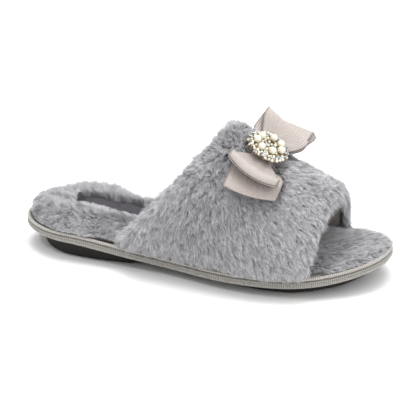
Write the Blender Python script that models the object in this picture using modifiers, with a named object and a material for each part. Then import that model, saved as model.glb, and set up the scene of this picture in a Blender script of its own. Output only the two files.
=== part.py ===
"""A faux fur slide for the right foot: an open-toed house slipper with a low wedge sole.

A black rubber outsole carries a ribbon-wrapped midsole with a thin piping round its top
edge. A fur-covered insole lies on it, a fur upper arches over the instep, and a double
ribbon bow with a round brooch of pearls and stones sits on the upper.

The frame: metres, +X towards the toe, +Y towards the inner side of the foot, +Z up, with
the origin on the floor under the middle of the heel.
"""

import math
import random

import bmesh
import bpy
from mathutils import Matrix, Vector

# Sole outline
SOLE_LENGTH = 0.260
HEEL_WIDTH = 0.067
WAIST_WIDTH = 0.064
BALL_WIDTH = 0.094
TOE_SWING = 0.008
HEEL_CENTRE = 0.034
HEEL_ROUND = 0.155
HEEL_FULLNESS = 1.9
TOE_ROUND = 0.32
TOE_FULLNESS = 2.2

# Sole heights
SEAT_LIFT = 0.0125
TREAD_LIFT = 0.0070
TOE_SPRING = 0.0078
WAIST_RISE = 0.0032
TOE_RUBBER = 0.0045
PLATFORM_THICK = 0.0050
PIPING_DIAMETER = 0.0022
CLEARANCE = 0.0003

# Outsole wall and tread
OUTSOLE_INSET_TOP = 0.0045
OUTSOLE_INSET_FLOOR = 0.0095
OUTSOLE_WAIST_INSET = 0.0065
OUTSOLE_HEEL_INSET = 0.0034
HEEL_INSET_END = 0.24
HEEL_BINDING_ROUND = 1.1
OUTSOLE_EDGE = 0.0012
GROOVE_WIDTH = 0.0020
GROOVE_DEPTH = 0.0012
HEEL_GROOVE_PITCH = 0.0080
BALL_GROOVE_PITCH = 0.0060
GROOVE_MARGIN = 0.0080
BALL_REST = 0.1520

# Insole and its label
INSOLE_HEEL_LOFT = 0.0145
INSOLE_TOE_LOFT = 0.0060
INSOLE_LOCK = 0.0030
INSOLE_SIDE = 0.0030
LABEL_LENGTH = 0.066
LABEL_WIDTH = 0.015
LABEL_THICK = 0.0006
LABEL_START = 0.034
LABEL_SHIFT = 0.0045
LABEL_SINK = 0.0050

# Upper
UPPER_WALL = 0.0025
INSTEP_HEIGHT = 0.0740
VAMP_HEIGHT = 0.0535
TOE_HEIGHT = 0.0365
RIDGE_SHIFT = 0.0030
THROAT_SIDE = 0.080
THROAT_TOP = 0.150
THROAT_CURVE = 0.8
FRONT_OUTER = 0.206
FRONT_INNER = 0.209
FRONT_RISE = 0.006
PILE_REAR = 0.0090
PILE_FRONT = 0.0070
PILE_PRESSED = 0.0005
LOCK_LENGTH = 0.0042
LOCK_JITTER = 0.22
EDGE_ROLL = 0.0040
FEATHER_STEP = 0.0036

# Ribbon bow
BOW_STATION = 0.172
BOW_TURN = 0.475
RIBBON_WIDTH = 0.037
RIBBON_THICK = 0.0006
BOW_REACH = 0.0400
LOWER_PUFF = 0.0020
UPPER_PUFF = 0.0030
LAYER_SPREAD = 3.45
NEAR_DROOP = 0.0050
FAR_RISE = 0.0040
LOOP_OPENING = 0.0260
LOOP_FAN = 0.0035
OUTER_FLARE = 0.56
INNER_FLARE = 0.7
KNOT_WIDTH = 0.0110
KNOT_GATHER = 0.0150
LAYER_PINCH = 0.0005
PLEAT = 0.0003
KNOT_CROWN = 0.0018

# Brooch
BROOCH_RADIUS = 0.0148
BROOCH_THICK = 0.0014
BROOCH_BACK = 0.45
BROOCH_PLATE = 0.94
PLATE_SHIFT = 0.08
BROOCH_REARWARD = 0.0013
BROOCH_OUTWARD = 0.0016
CUP_HEIGHT = 0.0002
PEARL_RADIUS = 0.0026
STONE_LARGE = 0.0020
STONE_SMALL = 0.0015

# Mesh densities
SIDE_STEPS = 34
INSOLE_ROWS = 8
UPPER_ACROSS = 38
UPPER_ALONG = 21
INNER_EVERY = 3
RIBBON_STEPS = 8
RIBBON_ACROSS = 4
SEED = 11

# Outline sections: share of the sole's length, the width followed, and the shares of that
# width on the outer and on the inner side of the foot's line
OUTLINE = (
    (0.00, HEEL_WIDTH, 0.500, 0.500),
    (0.18, HEEL_WIDTH, 0.512, 0.492),
    (0.33, WAIST_WIDTH, 0.545, 0.480),
    (0.46, WAIST_WIDTH, 0.585, 0.475),
    (0.62, BALL_WIDTH, 0.488, 0.430),
    (0.73, BALL_WIDTH, 0.510, 0.492),
    (0.85, BALL_WIDTH, 0.512, 0.520),
    (1.00, BALL_WIDTH, 0.505, 0.515),
)

# Underside of the midsole: share of length, height followed, share of it, share of the toe spring
LIFT = (
    (0.00, SEAT_LIFT, 1.06, 0.0),
    (0.18, SEAT_LIFT, 1.00, 0.0),
    (0.34, SEAT_LIFT, 0.66, 0.0),
    (0.48, TREAD_LIFT, 0.90, 0.0),
    (0.68, TREAD_LIFT, 1.00, 0.0),
    (0.84, TREAD_LIFT, 1.00, 0.18),
    (1.00, TREAD_LIFT, 1.00, 1.00),
)

# How far the outsole keeps in under the waist: share of length, share of the waist's inset
TUCK = (
    (0.00, 0.0),
    (0.28, 0.0),
    (0.44, 1.0),
    (0.58, 0.9),
    (0.72, 0.4),
    (1.00, 0.2),
)

# Height of the upper's inner face over the midsole: share of length, height followed, share of it
RIDGE = (
    (0.30, INSTEP_HEIGHT, 1.26),
    (0.50, INSTEP_HEIGHT, 1.13),
    (0.60, INSTEP_HEIGHT, 1.00),
    (0.73, VAMP_HEIGHT, 1.00),
    (0.86, TOE_HEIGHT, 1.00),
    (0.95, TOE_HEIGHT, 0.80),
)

# Loft of the insole: share of length, loft followed, share of it
LOFT = (
    (0.00, INSOLE_HEEL_LOFT, 0.85),
    (0.16, INSOLE_HEEL_LOFT, 1.00),
    (0.34, INSOLE_HEEL_LOFT, 1.14),
    (0.48, INSOLE_HEEL_LOFT, 0.90),
    (0.66, INSOLE_TOE_LOFT, 1.15),
    (0.80, INSOLE_TOE_LOFT, 1.00),
    (1.00, INSOLE_TOE_LOFT, 0.80),
)

# Loops of the bow: share of its reach, turn of the loop and turn of its end, in degrees, then
# how far the end bows out in shares of the reach, share of the puff and share of the opening
LOWER_LOOPS = {
    "outer": (0.965, 7.5, 21.5, 0.075, 1.0, 1.0),
    "inner": (1.00, -2.2, 15.0, 0.0, 1.0, 1.0),
}
UPPER_LOOPS = {
    "outer": (0.80, -2.3, 0.2, 0.13, 1.35, 1.25),
    "inner": (0.70, -4.5, -12.5, 0.0, 0.8, 1.0),
}

# Pearls of the brooch: place forwards and inwards, in shares of the brooch's radius
PEARLS = (
    (-0.49, 0.38),
    (-0.57, -0.05),
    (-0.24, -0.33),
    (0.28, -0.16),
    (0.59, 0.24),
    (0.42, 0.63),
    (0.01, 0.71),
)

# Stones of the brooch: place forwards and inwards, in shares of its radius, and radius
STONES = (
    (-0.09, 0.17, STONE_LARGE),
    (0.22, 0.22, STONE_SMALL),
    (-0.88, 0.06, STONE_SMALL),
    (-0.88, -0.29, STONE_SMALL),
    (-0.70, -0.55, STONE_SMALL),
    (-0.36, -0.77, STONE_SMALL),
    (0.03, -0.66, STONE_LARGE),
    (0.46, -0.50, STONE_SMALL),
    (0.67, -0.15, STONE_LARGE),
    (0.93, 0.13, STONE_SMALL),
    (0.86, 0.42, STONE_SMALL),
    (0.74, 0.68, STONE_SMALL),
    (0.24, 0.96, STONE_SMALL),
    (-0.33, 0.74, STONE_SMALL),
    (-0.81, 0.42, STONE_SMALL),
)


def smooth(t):
    """A soft step from 0 to 1."""
    t = min(max(t, 0.0), 1.0)
    return t * t * (3.0 - 2.0 * t)


def mix(a, b, t):
    return a + (b - a) * t


def curve_through(points, at):
    """The value at a share of the length, on a soft curve through (share, value) points."""
    if at <= points[0][0]:
        return points[0][1]
    if at >= points[-1][0]:
        return points[-1][1]
    k = next(i for i in range(len(points) - 1) if at <= points[i + 1][0])
    x0, y0 = points[k]
    x1, y1 = points[k + 1]
    slope = (y1 - y0) / (x1 - x0)
    before, after = slope, slope
    if k > 0:
        xb, yb = points[k - 1]
        before = (y1 - yb) / (x1 - xb)
    if k + 2 < len(points):
        xa, ya = points[k + 2]
        after = (ya - y0) / (xa - x0)
    t = (at - x0) / (x1 - x0)
    span = x1 - x0
    return (
        y0 * (1 + 2 * t) * (1 - t) ** 2
        + y1 * t * t * (3 - 2 * t)
        + before * span * t * (1 - t) ** 2
        - after * span * t * t * (1 - t)
    )


def end_shape(share):
    """1 along the foot, and falling to 0 round the heel and the toe."""
    if share < 0.5:
        over, power = (HEEL_ROUND - share) / HEEL_ROUND, HEEL_FULLNESS
    else:
        over, power = (share - 1.0 + TOE_ROUND) / TOE_ROUND, TOE_FULLNESS
    return (1.0 - min(max(over, 0.0), 1.0) ** power) ** (1.0 / power)


def outline(share):
    """The y of the sole's outer and of its inner side at a share of the length."""
    swing = TOE_SWING * max((share - 0.5) / 0.5, 0.0) ** 2
    outer = curve_through([(s, w * o) for s, w, o, _ in OUTLINE], share)
    inner = curve_through([(s, w * i) for s, w, _, i in OUTLINE], share)
    end = end_shape(share)
    return swing - outer * end, swing + inner * end


def share_of(x):
    return min(max((x + HEEL_CENTRE) / SOLE_LENGTH, 0.0), 1.0)


def lift(share):
    """Height of the midsole's underside over the floor."""
    rows = [(s, size * k + TOE_SPRING * spring) for s, size, k, spring in LIFT]
    return curve_through(rows, share)


def platform_top(share):
    return lift(share) + PLATFORM_THICK


def floor_line(share):
    """Height of the outsole's underside: flat under heel and ball, raised between and at the toe."""
    toe = lift(1.0) - TOE_RUBBER
    rows = (
        (0.00, WAIST_RISE * 0.5),
        (0.05, 0.0),
        (0.33, 0.0),
        (0.42, WAIST_RISE),
        (0.51, WAIST_RISE),
        (0.59, 0.0),
        (0.79, 0.0),
        (0.90, toe * 0.35),
        (1.00, toe),
    )
    k = next(i for i in range(len(rows) - 1) if share <= rows[i + 1][0])
    t = (share - rows[k][0]) / (rows[k + 1][0] - rows[k][0])
    return mix(rows[k][1], rows[k + 1][1], t)


def side_points(side):
    """Points evenly spaced along one side of the sole, from the heel's tip to the toe's."""
    fine = 600
    path = []
    for i in range(fine + 1):
        share = (1.0 - math.cos(math.pi * i / fine)) / 2.0
        path.append(Vector((share * SOLE_LENGTH - HEEL_CENTRE, outline(share)[side])))
    run = [0.0]
    for a, b in zip(path, path[1:]):
        run.append(run[-1] + (b - a).length)
    found, k = [], 0
    for i in range(SIDE_STEPS + 1):
        want = run[-1] * i / SIDE_STEPS
        while k < fine - 1 and run[k + 1] < want:
            k += 1
        t = (want - run[k]) / (run[k + 1] - run[k])
        found.append(path[k].lerp(path[k + 1], min(max(t, 0.0), 1.0)))
    return found


def sole_ring():
    """The outline as one closed ring: heel tip, outer side, toe tip, inner side."""
    outer, inner = side_points(0), side_points(1)
    return outer + inner[-2:0:-1]


def inset_ring(ring, inset, height):
    """The ring moved inwards by inset(share) and raised to height(share)."""
    found = []
    for i, point in enumerate(ring):
        ahead, behind = ring[(i + 1) % len(ring)], ring[i - 1]
        along = (ahead - behind).normalized()
        moved = point + Vector((-along.y, along.x)) * inset(share_of(point.x))
        found.append(Vector((moved.x, moved.y, height(share_of(moved.x)))))
    return found


def constant(value):
    return lambda share: value


def raised(base, value):
    return lambda share: base(share) + value


def finish_object(name, mesh, colour, roughness, metallic=0.0):
    """Puts a mesh in the slide's collection with a material of its own."""
    obj = bpy.data.objects.new(name, mesh)
    slide.objects.link(obj)
    material = bpy.data.materials.new(name)
    material.use_nodes = True
    shader = material.node_tree.nodes["Principled BSDF"]
    shader.inputs["Base Color"].default_value = (*colour, 1.0)
    shader.inputs["Roughness"].default_value = roughness
    shader.inputs["Metallic"].default_value = metallic
    obj.data.materials.append(material)
    return obj


def face_outwards(bm):
    """Turns every face of a closed shape outwards."""
    bmesh.ops.recalc_face_normals(bm, faces=bm.faces)
    if bm.calc_volume(signed=True) < 0:
        bmesh.ops.reverse_faces(bm, faces=bm.faces)


def mesh_from(name, bm, smooth_faces=True):
    face_outwards(bm)
    mesh = bpy.data.meshes.new(name)
    bm.to_mesh(mesh)
    bm.free()
    if smooth_faces:
        mesh.shade_smooth()
        mesh.set_sharp_from_angle(angle=math.radians(40))
    return mesh


def loft_rings(bm, rings, low_cap=True, high_cap=True):
    """Skins closed rings one above the other, and closes the ends from side to side."""
    rows = [[bm.verts.new(p) for p in ring] for ring in rings]
    count = len(rows[0])
    for low, high in zip(rows, rows[1:]):
        for i in range(count):
            j = (i + 1) % count
            bm.faces.new((low[i], low[j], high[j], high[i]))
    for row, wanted in ((rows[0], low_cap), (rows[-1], high_cap)):
        if wanted:
            side_to_side(bm, row)
    return rows


def side_to_side(bm, row):
    """Closes a ring with strips that run from the outer side to the inner side."""
    count = len(row)
    for i in range(count // 2):
        corners = (row[i], row[i + 1], row[-(i + 1) % count], row[-i % count])
        bm.faces.new(list(dict.fromkeys(corners)))


def tucked(inset, tuck):
    """An inset that grows under the waist, where the foot's arch is, and round the heel."""

    def inset_at(share):
        waist = OUTSOLE_WAIST_INSET * tuck * curve_through(TUCK, share)
        heel = OUTSOLE_HEEL_INSET * (0.55 + 0.9 * tuck) * (1.0 - smooth(share / HEEL_INSET_END))
        return inset + waist + heel

    return inset_at


def make_outsole(ring):
    """The rubber sole: a low wedge heel, a raised waist and a turned-up toe, with grooves."""
    bm = bmesh.new()
    edge = mix(OUTSOLE_INSET_FLOOR, OUTSOLE_INSET_TOP, 0.3)
    loft_rings(
        bm,
        [
            inset_ring(ring, tucked(OUTSOLE_INSET_FLOOR, 1.0), floor_line),
            inset_ring(ring, tucked(edge, 0.9), raised(floor_line, OUTSOLE_EDGE)),
            inset_ring(ring, tucked(OUTSOLE_INSET_TOP, 0.5), raised(lift, -CLEARANCE)),
        ],
    )
    obj = finish_object("outsole", mesh_from("outsole", bm), (0.02, 0.02, 0.022), 0.55)
    cutter = make_grooves()
    modifier = obj.modifiers.new("tread", "BOOLEAN")
    modifier.operation = "DIFFERENCE"
    modifier.object = cutter
    return obj


def make_grooves():
    """One cutter: short grooves under the heel, and grooves from edge to edge under the ball.

    They run in front of and behind the two places where the sole rests, which stay plain.
    """
    rows = (
        (0.0, 2, 6, HEEL_GROOVE_PITCH, OUTSOLE_INSET_FLOOR + GROOVE_MARGIN),
        (BALL_REST, 5, 7, BALL_GROOVE_PITCH, 0.0),
    )
    bm = bmesh.new()
    for rest, behind, ahead, pitch, margin in rows:
        for i in range(-behind, ahead):
            x = rest + (i + 0.5) * pitch
            outer, inner = outline(share_of(x))
            place = Matrix.Translation((x, (outer + inner) / 2, floor_line(share_of(x))))
            size = (GROOVE_WIDTH, inner - outer - 2 * margin, 2 * GROOVE_DEPTH)
            bmesh.ops.create_cube(bm, size=1.0, matrix=place @ Matrix.Diagonal((*size, 1.0)))
    obj = bpy.data.objects.new("tread_cutter", mesh_from("tread_cutter", bm, False))
    cutters.objects.link(obj)
    obj.hide_render = True
    obj.display_type = "WIRE"
    return obj


def bound(inset, height):
    """An inset of the platform's side, which the ribbon wrap turns in sooner under the heel."""
    turned = HEEL_BINDING_ROUND * max(0.4 - height, 0.0)
    return lambda share: PLATFORM_THICK * (inset + turned * (1.0 - smooth(share / HEEL_INSET_END)))


def make_midsole(ring):
    """The platform in its ribbon wrap: a soft lower edge, a flat side and a step under the piping."""
    steps = ((0.48, 0.0), (0.14, 0.10), (0.0, 0.32), (0.0, 0.72), (0.12, 0.94), (0.52, 1.0))
    bm = bmesh.new()
    rings = []
    for inset, height in steps:
        rise = raised(lift, PLATFORM_THICK * height)
        rings.append(inset_ring(ring, bound(inset, height), rise))
    loft_rings(bm, rings)
    return finish_object("midsole", mesh_from("midsole", bm), (0.42, 0.40, 0.36), 0.55)


def make_piping(ring):
    """A thin round bead that runs round the top edge of the midsole."""
    radius = PIPING_DIAMETER / 2
    inset = constant(CLEARANCE + radius)
    path = inset_ring(ring, inset, raised(platform_top, radius + CLEARANCE))
    data = bpy.data.curves.new("piping_path", "CURVE")
    data.dimensions = "3D"
    data.bevel_depth = radius
    data.bevel_resolution = 1
    data.resolution_u = 1
    spline = data.splines.new("POLY")
    spline.points.add(len(path) - 1)
    for point, place in zip(spline.points, path):
        point.co = (*place, 1.0)
    spline.use_cyclic_u = True
    return finish_object("piping", data, (0.62, 0.60, 0.55), 0.4)


def insole_inset(share):
    """Close to the piping at heel and toe, and inside the upper's wall under the vamp."""
    open_inset = PIPING_DIAMETER + 2.5 * CLEARANCE
    vamp_inset = open_inset + UPPER_WALL + 6 * CLEARANCE
    x = share * SOLE_LENGTH
    reach = LOCK_LENGTH + EDGE_ROLL
    rear = smooth((x - (THROAT_SIDE - 2.6 * reach)) / reach)
    front = smooth(((FRONT_INNER + 2.4 * reach) - x) / reach)
    return mix(open_inset, vamp_inset, min(rear, front))


def insole_height(share, across):
    """Height of the insole's top over the midsole. across runs from -1 at the outer edge to 1."""
    loft = curve_through([(s, size * k) for s, size, k in LOFT], share)
    outer, inner = outline(share)
    y = across * (inner - outer) / 2
    crown = 1.0 - 0.18 * abs(across) ** 3
    x = share * SOLE_LENGTH
    middle = LABEL_START + LABEL_LENGTH / 2
    along = 1.0 - smooth((abs(x - middle) - LABEL_LENGTH / 2) / (LABEL_LENGTH * 0.25))
    beside = 1.0 - smooth((abs(y - LABEL_SHIFT) - LABEL_WIDTH * 0.55) / LABEL_WIDTH)
    return loft * crown - LABEL_SINK * along * beside


def make_insole(ring, chance):
    """The fur-covered footbed: a soft pad with locks of pile fused on where it shows."""
    bm = bmesh.new()
    base = inset_ring(ring, insole_inset, raised(platform_top, CLEARANCE))
    side = inset_ring(ring, insole_inset, raised(platform_top, INSOLE_SIDE))
    rows = loft_rings(bm, [base, side], high_cap=False)
    rim = rows[-1]
    count = len(rim)
    grid = [[rim[0]] * (INSOLE_ROWS + 1)]
    for i in range(1, count // 2):
        start, end = rim[i], rim[-i % count]
        line = [start]
        for k in range(1, INSOLE_ROWS):
            place = start.co.lerp(end.co, k / INSOLE_ROWS)
            share = share_of(place.x)
            across = 2 * k / INSOLE_ROWS - 1
            narrow = smooth((end.co - start.co).length / (HEEL_WIDTH * 0.55))
            rise = mix(INSOLE_SIDE, insole_height(share, across), narrow)
            line.append(bm.verts.new((place.x, place.y, platform_top(share) + rise)))
        grid.append(line + [end])
    grid.append([rim[count // 2]] * (INSOLE_ROWS + 1))
    tops = []
    for line, ahead in zip(grid, grid[1:]):
        for k in range(INSOLE_ROWS):
            corners = dict.fromkeys((line[k], ahead[k], ahead[k + 1], line[k + 1]))
            tops.append(bm.faces.new(list(corners)))
    face_outwards(bm)
    raise_insole_locks(bm, tops, chance)
    return finish_object("insole", mesh_from("insole", bm), (0.42, 0.43, 0.45), 0.9)


def raise_insole_locks(bm, tops, chance):
    """Draws a lock of pile up from each open face of the insole, clear of upper and label."""
    smallest = (HEEL_WIDTH / INSOLE_ROWS) ** 2 * 0.3
    wanted = []
    for face in tops:
        centre = face.calc_center_median()
        x = centre.x + HEEL_CENTRE
        hidden = 5 * LOCK_LENGTH
        under_upper = THROAT_SIDE - hidden < x < FRONT_INNER + hidden
        beside = abs(centre.y - LABEL_SHIFT) > LABEL_WIDTH * 0.5 + INSOLE_LOCK
        on_label = not beside and x > LABEL_START - LABEL_WIDTH / 2
        if face.calc_area() > smallest and not under_upper and not on_label:
            wanted.append(face)
    ways = {f.index: f.normal.copy() for f in wanted}
    poked = bmesh.ops.poke(bm, faces=wanted)
    for vert, way in zip(poked["verts"], ways.values()):
        rise = INSOLE_LOCK * chance.uniform(0.7, 1.15)
        lean = Vector((chance.uniform(-0.4, 0.4), chance.uniform(-0.4, 0.4), 0.0))
        vert.co += (way + lean) * rise


def make_label(insole):
    """A plain satin label that lies along the middle of the heel."""
    bm = bmesh.new()
    cells = (16, 3)
    bmesh.ops.create_grid(bm, x_segments=cells[0], y_segments=cells[1], size=0.5)
    middle = LABEL_START + LABEL_LENGTH / 2 - HEEL_CENTRE
    height = SEAT_LIFT + PLATFORM_THICK + 2 * INSOLE_HEEL_LOFT
    place = Matrix.Translation((middle, LABEL_SHIFT, height))
    bm.transform(place @ Matrix.Diagonal((LABEL_LENGTH, LABEL_WIDTH, 1.0, 1.0)))
    obj = finish_object("insole_label", mesh_from("insole_label", bm), (0.09, 0.09, 0.10), 0.45)
    lay = obj.modifiers.new("lay", "SHRINKWRAP")
    lay.target = insole
    lay.wrap_method = "PROJECT"
    lay.use_project_z = True
    lay.use_negative_direction = True
    lay.use_positive_direction = False
    lay.wrap_mode = "ABOVE_SURFACE"
    lay.offset = 3 * CLEARANCE
    thick = obj.modifiers.new("thick", "SOLIDIFY")
    thick.thickness = LABEL_THICK
    thick.offset = 1.0
    return obj


def feather(share):
    """The y of the upper's inner face at its outer and its inner foot, inside the piping."""
    inset = PIPING_DIAMETER + 4 * CLEARANCE + UPPER_WALL
    step = 0.004
    here, ahead, behind = outline(share), outline(share + step), outline(share - step)
    found = []
    for side, way in ((0, 1.0), (1, -1.0)):
        slope = (ahead[side] - behind[side]) / (2 * step * SOLE_LENGTH)
        found.append(here[side] + way * inset * math.hypot(1.0, slope))
    return found


def arch(turn, x):
    """A point of the upper's inner face. turn runs from 0 at the outer feather to 1 at the inner."""
    share = x / SOLE_LENGTH
    outer, inner = feather(share)
    height = curve_through([(s, size * k) for s, size, k in RIDGE], share)
    up = math.sin(math.pi * turn)
    y = (outer + inner) / 2 - (inner - outer) / 2 * math.cos(math.pi * turn)
    y += RIDGE_SHIFT * up * up
    return Vector((x - HEEL_CENTRE, y, platform_top(share) + 2 * CLEARANCE + height * up))


def throat(turn):
    """Where the upper starts, from the back of the heel: low at the sides, far forward on top."""
    return mix(THROAT_SIDE, THROAT_TOP, math.sin(math.pi * turn) ** THROAT_CURVE)


def front(turn):
    """Where the upper ends over the toes."""
    up = math.sin(math.pi * turn)
    return mix(FRONT_OUTER, FRONT_INNER, turn) + FRONT_RISE * up**0.7


def arch_axes(turn, x):
    """The directions along the foot, across it and out of the upper, at a point of its inner face."""
    step, nudge = 0.002, 0.002
    low, high = max(turn - step, 0.0), min(turn + step, 1.0)
    across = (arch(high, x) - arch(low, x)).normalized()
    along = (arch(turn, x + nudge) - arch(turn, x - nudge)).normalized()
    return along, across, along.cross(across).normalized()


def bow_seat():
    """The bow's place on the ridge: its origin, and its axes forward, inward and up."""
    along, across, out = arch_axes(BOW_TURN, BOW_STATION)
    place = arch(BOW_TURN, BOW_STATION) + out * (UPPER_WALL + PILE_PRESSED + 3 * CLEARANCE)
    return place, along, out.cross(along), out


def ribbon_half(aside):
    """Half the bow's breadth at a place across the foot: gathered at the knot, then full."""
    opening = LOOP_OPENING * (OUTER_FLARE if aside < 0 else INNER_FLARE)
    return mix(KNOT_GATHER, RIBBON_WIDTH, smooth((abs(aside) - KNOT_WIDTH * 0.6) / opening)) / 2


def loop_fan(away):
    """How far the inner lower loop's under half is splayed forward at a share of the loop."""
    return LOOP_FAN * 2.4 * away**4 * (1.0 - away**10)


def under_bow(point):
    """1 where the bow presses the pile flat, 0 away from it."""
    place, forward, inward, out = bow_seat()
    off = point - place
    ahead, aside = off.dot(forward), off.dot(inward)
    knot = 1.0 - smooth((math.hypot(ahead, aside) - KNOT_GATHER * 0.6) / (KNOT_GATHER * 0.75))
    cover = ribbon_half(aside + math.copysign(KNOT_WIDTH / 2, aside)) * 1.15 + LOOP_FAN * 0.5
    beside = 1.0 - smooth((abs(ahead) - cover) / (RIBBON_WIDTH * 0.2))
    room = bow_bend(aside) - off.dot(out)
    near = 1.0 - smooth(room / (UPPER_WALL + PILE_REAR + LOCK_LENGTH))
    within = 1.0 - smooth((abs(aside) - BOW_REACH * 0.9) / (BOW_REACH * 0.3))
    return max(knot, beside * near * within)


def pile_depth(turn, along, x):
    """Depth of the fur's body over the upper's wall."""
    depth = mix(PILE_REAR, PILE_FRONT, smooth(along * 1.4))
    rise = math.sin(math.pi * turn) * INSTEP_HEIGHT
    depth *= smooth((rise - FEATHER_STEP) / (2.2 * FEATHER_STEP))
    return mix(depth, min(PILE_PRESSED, depth), under_bow(arch(turn, x)))


def upper_section(turn):
    """One closed section of the upper, from throat to front outside and back again inside."""
    start, end = throat(turn), front(turn)
    outer = []
    for i in range(UPPER_ALONG + 1):
        t = i / UPPER_ALONG
        x = mix(start, end, t)
        along, _, out = arch_axes(turn, x)
        depth = pile_depth(turn, t, x)
        place = arch(turn, x)
        roll = EDGE_ROLL * min(depth / PILE_FRONT, 1.0)
        if i == 0:
            outer.append(place - along * roll + out * UPPER_WALL * 0.5)
            outer.append(place - along * roll * 1.3 + out * (UPPER_WALL + depth * 0.7))
        elif i == UPPER_ALONG:
            outer.append(place + along * roll * 0.9 + out * (UPPER_WALL + depth * 0.7))
            outer.append(place + along * roll * 0.8 + out * UPPER_WALL * 0.5)
        else:
            outer.append(place + out * (UPPER_WALL + depth))
    count = UPPER_ALONG // INNER_EVERY
    return outer, [arch(turn, mix(end, start, i / count)) for i in range(count + 1)]


def make_upper(chance):
    """The vamp: one hollow wall of backing and fur, open at the throat and over the toes."""
    low = math.asin(FEATHER_STEP / INSTEP_HEIGHT) / math.pi
    turns = [mix(low, 1.0 - low, i / UPPER_ACROSS) for i in range(UPPER_ACROSS + 1)]
    turns = [0.0] + turns + [1.0]
    bm = bmesh.new()
    rows = []
    for turn in turns:
        outer, inner = upper_section(turn)
        rows.append([bm.verts.new(p) for p in outer + inner])
    outer_size = UPPER_ALONG + 3
    ruffle(rows[2:-2], outer_size, chance)
    furry = []
    for j, (row, ahead) in enumerate(zip(rows, rows[1:])):
        for i in range(len(row)):
            k = (i + 1) % len(row)
            face = bm.faces.new((row[i], row[k], ahead[k], ahead[i]))
            if i < outer_size - 1 and 0 < j < len(rows) - 2:
                furry.append((face, (turns[j] + turns[j + 1]) / 2, i / (outer_size - 2)))
    for row in (rows[0], rows[-1]):
        close_feather(bm, row[:outer_size], row[outer_size:][::-1])
    face_outwards(bm)
    raise_upper_locks(bm, furry, chance)
    return finish_object("upper", mesh_from("upper", bm), (0.42, 0.43, 0.45), 0.9)


def ruffle(rows, outer_size, chance):
    """Moves the fur's own vertices a little along the surface, so that no two locks are alike."""
    moves = []
    for j in range(1, len(rows) - 1):
        for i in range(2, outer_size - 2):
            row = rows[j]
            ahead = row[i + 1].co - row[i - 1].co
            across = rows[j + 1][i].co - rows[j - 1][i].co
            along, side = (chance.uniform(-0.5, 0.5) * LOCK_JITTER for _ in range(2))
            moves.append((row[i], ahead * along + across * side))
    for vert, move in moves:
        vert.co += move


def close_feather(bm, outer, inner):
    """Closes the wall's lower edge with strips from its outer to its inner face."""
    for i in range(len(outer) - 1):
        near, far = (min(max(k - 1, 0) // INNER_EVERY, len(inner) - 1) for k in (i, i + 1))
        corners = dict.fromkeys((outer[i], outer[i + 1], inner[far], inner[near]))
        bm.faces.new(list(corners))


def raise_upper_locks(bm, furry, chance):
    """Draws a lock of pile out of each outer face, lying down the flank and over the edges."""
    leans = []
    for face, turn, t in furry:
        centre = face.calc_center_median()
        along, across, _ = arch_axes(turn, mix(throat(turn), front(turn), t))
        up = math.sin(math.pi * turn)
        lean = across * (-0.8 * math.cos(math.pi * turn)) + along * (t - 0.3) * 1.2
        free = 1.0 - under_bow(centre)
        edge = smooth(up * INSTEP_HEIGHT / (4.5 * FEATHER_STEP))
        way = face.normal * mix(0.3, 1.0, edge) + lean * edge
        leans.append(way * LOCK_LENGTH * free * mix(0.4, 1.0, edge) * chance.uniform(0.65, 1.15))
    poked = bmesh.ops.poke(bm, faces=[face for face, _, _ in furry])
    for vert, move in zip(poked["verts"], leans):
        vert.co += move


def bow_bend(aside):
    """Height of the bow's middle line over its seat: down the outer flank, up over the inner one."""
    reach = max(abs(aside) - KNOT_WIDTH * 0.6, 0.0) / (BOW_REACH - KNOT_WIDTH * 0.6)
    return -NEAR_DROOP * reach**1.5 if aside < 0 else FAR_RISE * reach**2


def loop_row(number, loop, puff, away, side, way):
    """One line of vertices across a ribbon loop, and its place out from the knot's middle."""
    reach, turn, end_turn, bulge, fill, opening = loop
    held = KNOT_WIDTH * 0.55
    far = held + (reach * BOW_REACH - held) * away if away >= 0 else 0.0
    opened = smooth((far - held) / (LOOP_OPENING * opening))
    swell = mix(LAYER_PINCH, puff * fill, opened) * max(1.0 - max(away, 0.0) ** 5, 0.0) ** 0.5
    middle = (LAYER_SPREAD * LOWER_PUFF * number + puff * fill) * opened
    level = layer_base(number) + middle + swell * side
    free = smooth((far - held) / KNOT_WIDTH)
    fan = loop_fan(max(away, 0.0)) if number == 0 and side < 0 and way > 0 else 0.0
    line = []
    for k in range(RIBBON_ACROSS + 1):
        w = 2 * k / RIBBON_ACROSS - 1
        pleat = PLEAT * (1.0 - opened) * math.cos(3 * math.pi * w)
        bowed = far + bulge * BOW_REACH * (1.0 - w * w) * max(away, 0.0) ** 2
        run = ribbon_half(way * far) * w + fan
        line.append((bowed, turn * free, run, end_turn * free, level + pleat))
    return line


def ribbon_layer(name, number, loops, puff, colour):
    """One closed band of ribbon: a loop to each side, gathered where the knot holds it."""
    place, forward, inward, out = bow_seat()
    turned = [math.sin(math.pi / 2 * i / RIBBON_STEPS) for i in range(RIBBON_STEPS + 1)]
    outer, inner = [("outer", t) for t in turned], [("inner", t) for t in turned]
    top = outer[::-1] + [("inner", -1.0)] + inner
    walk = [(which, t, 1.0) for which, t in top] + [(which, t, -1.0) for which, t in top[-2:0:-1]]
    bm = bmesh.new()
    rows = []
    for which, away, side in walk:
        way = -1.0 if which == "outer" else 1.0
        row = []
        for far, turn, across, end_turn, level in loop_row(number, loops[which], puff, away, side, way):
            middle = Matrix.Rotation(math.radians(turn), 2) @ Vector((0.0, way * far))
            flat = middle + Matrix.Rotation(math.radians(end_turn), 2) @ Vector((across, 0.0))
            up = level + bow_bend(flat.y)
            row.append(bm.verts.new(place + forward * flat.x + inward * flat.y + out * up))
        rows.append(row)
    band_faces(bm, rows)
    obj = finish_object(name, mesh_from(name, bm), colour, 0.6)
    thicken(obj, RIBBON_THICK)
    return obj


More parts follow.
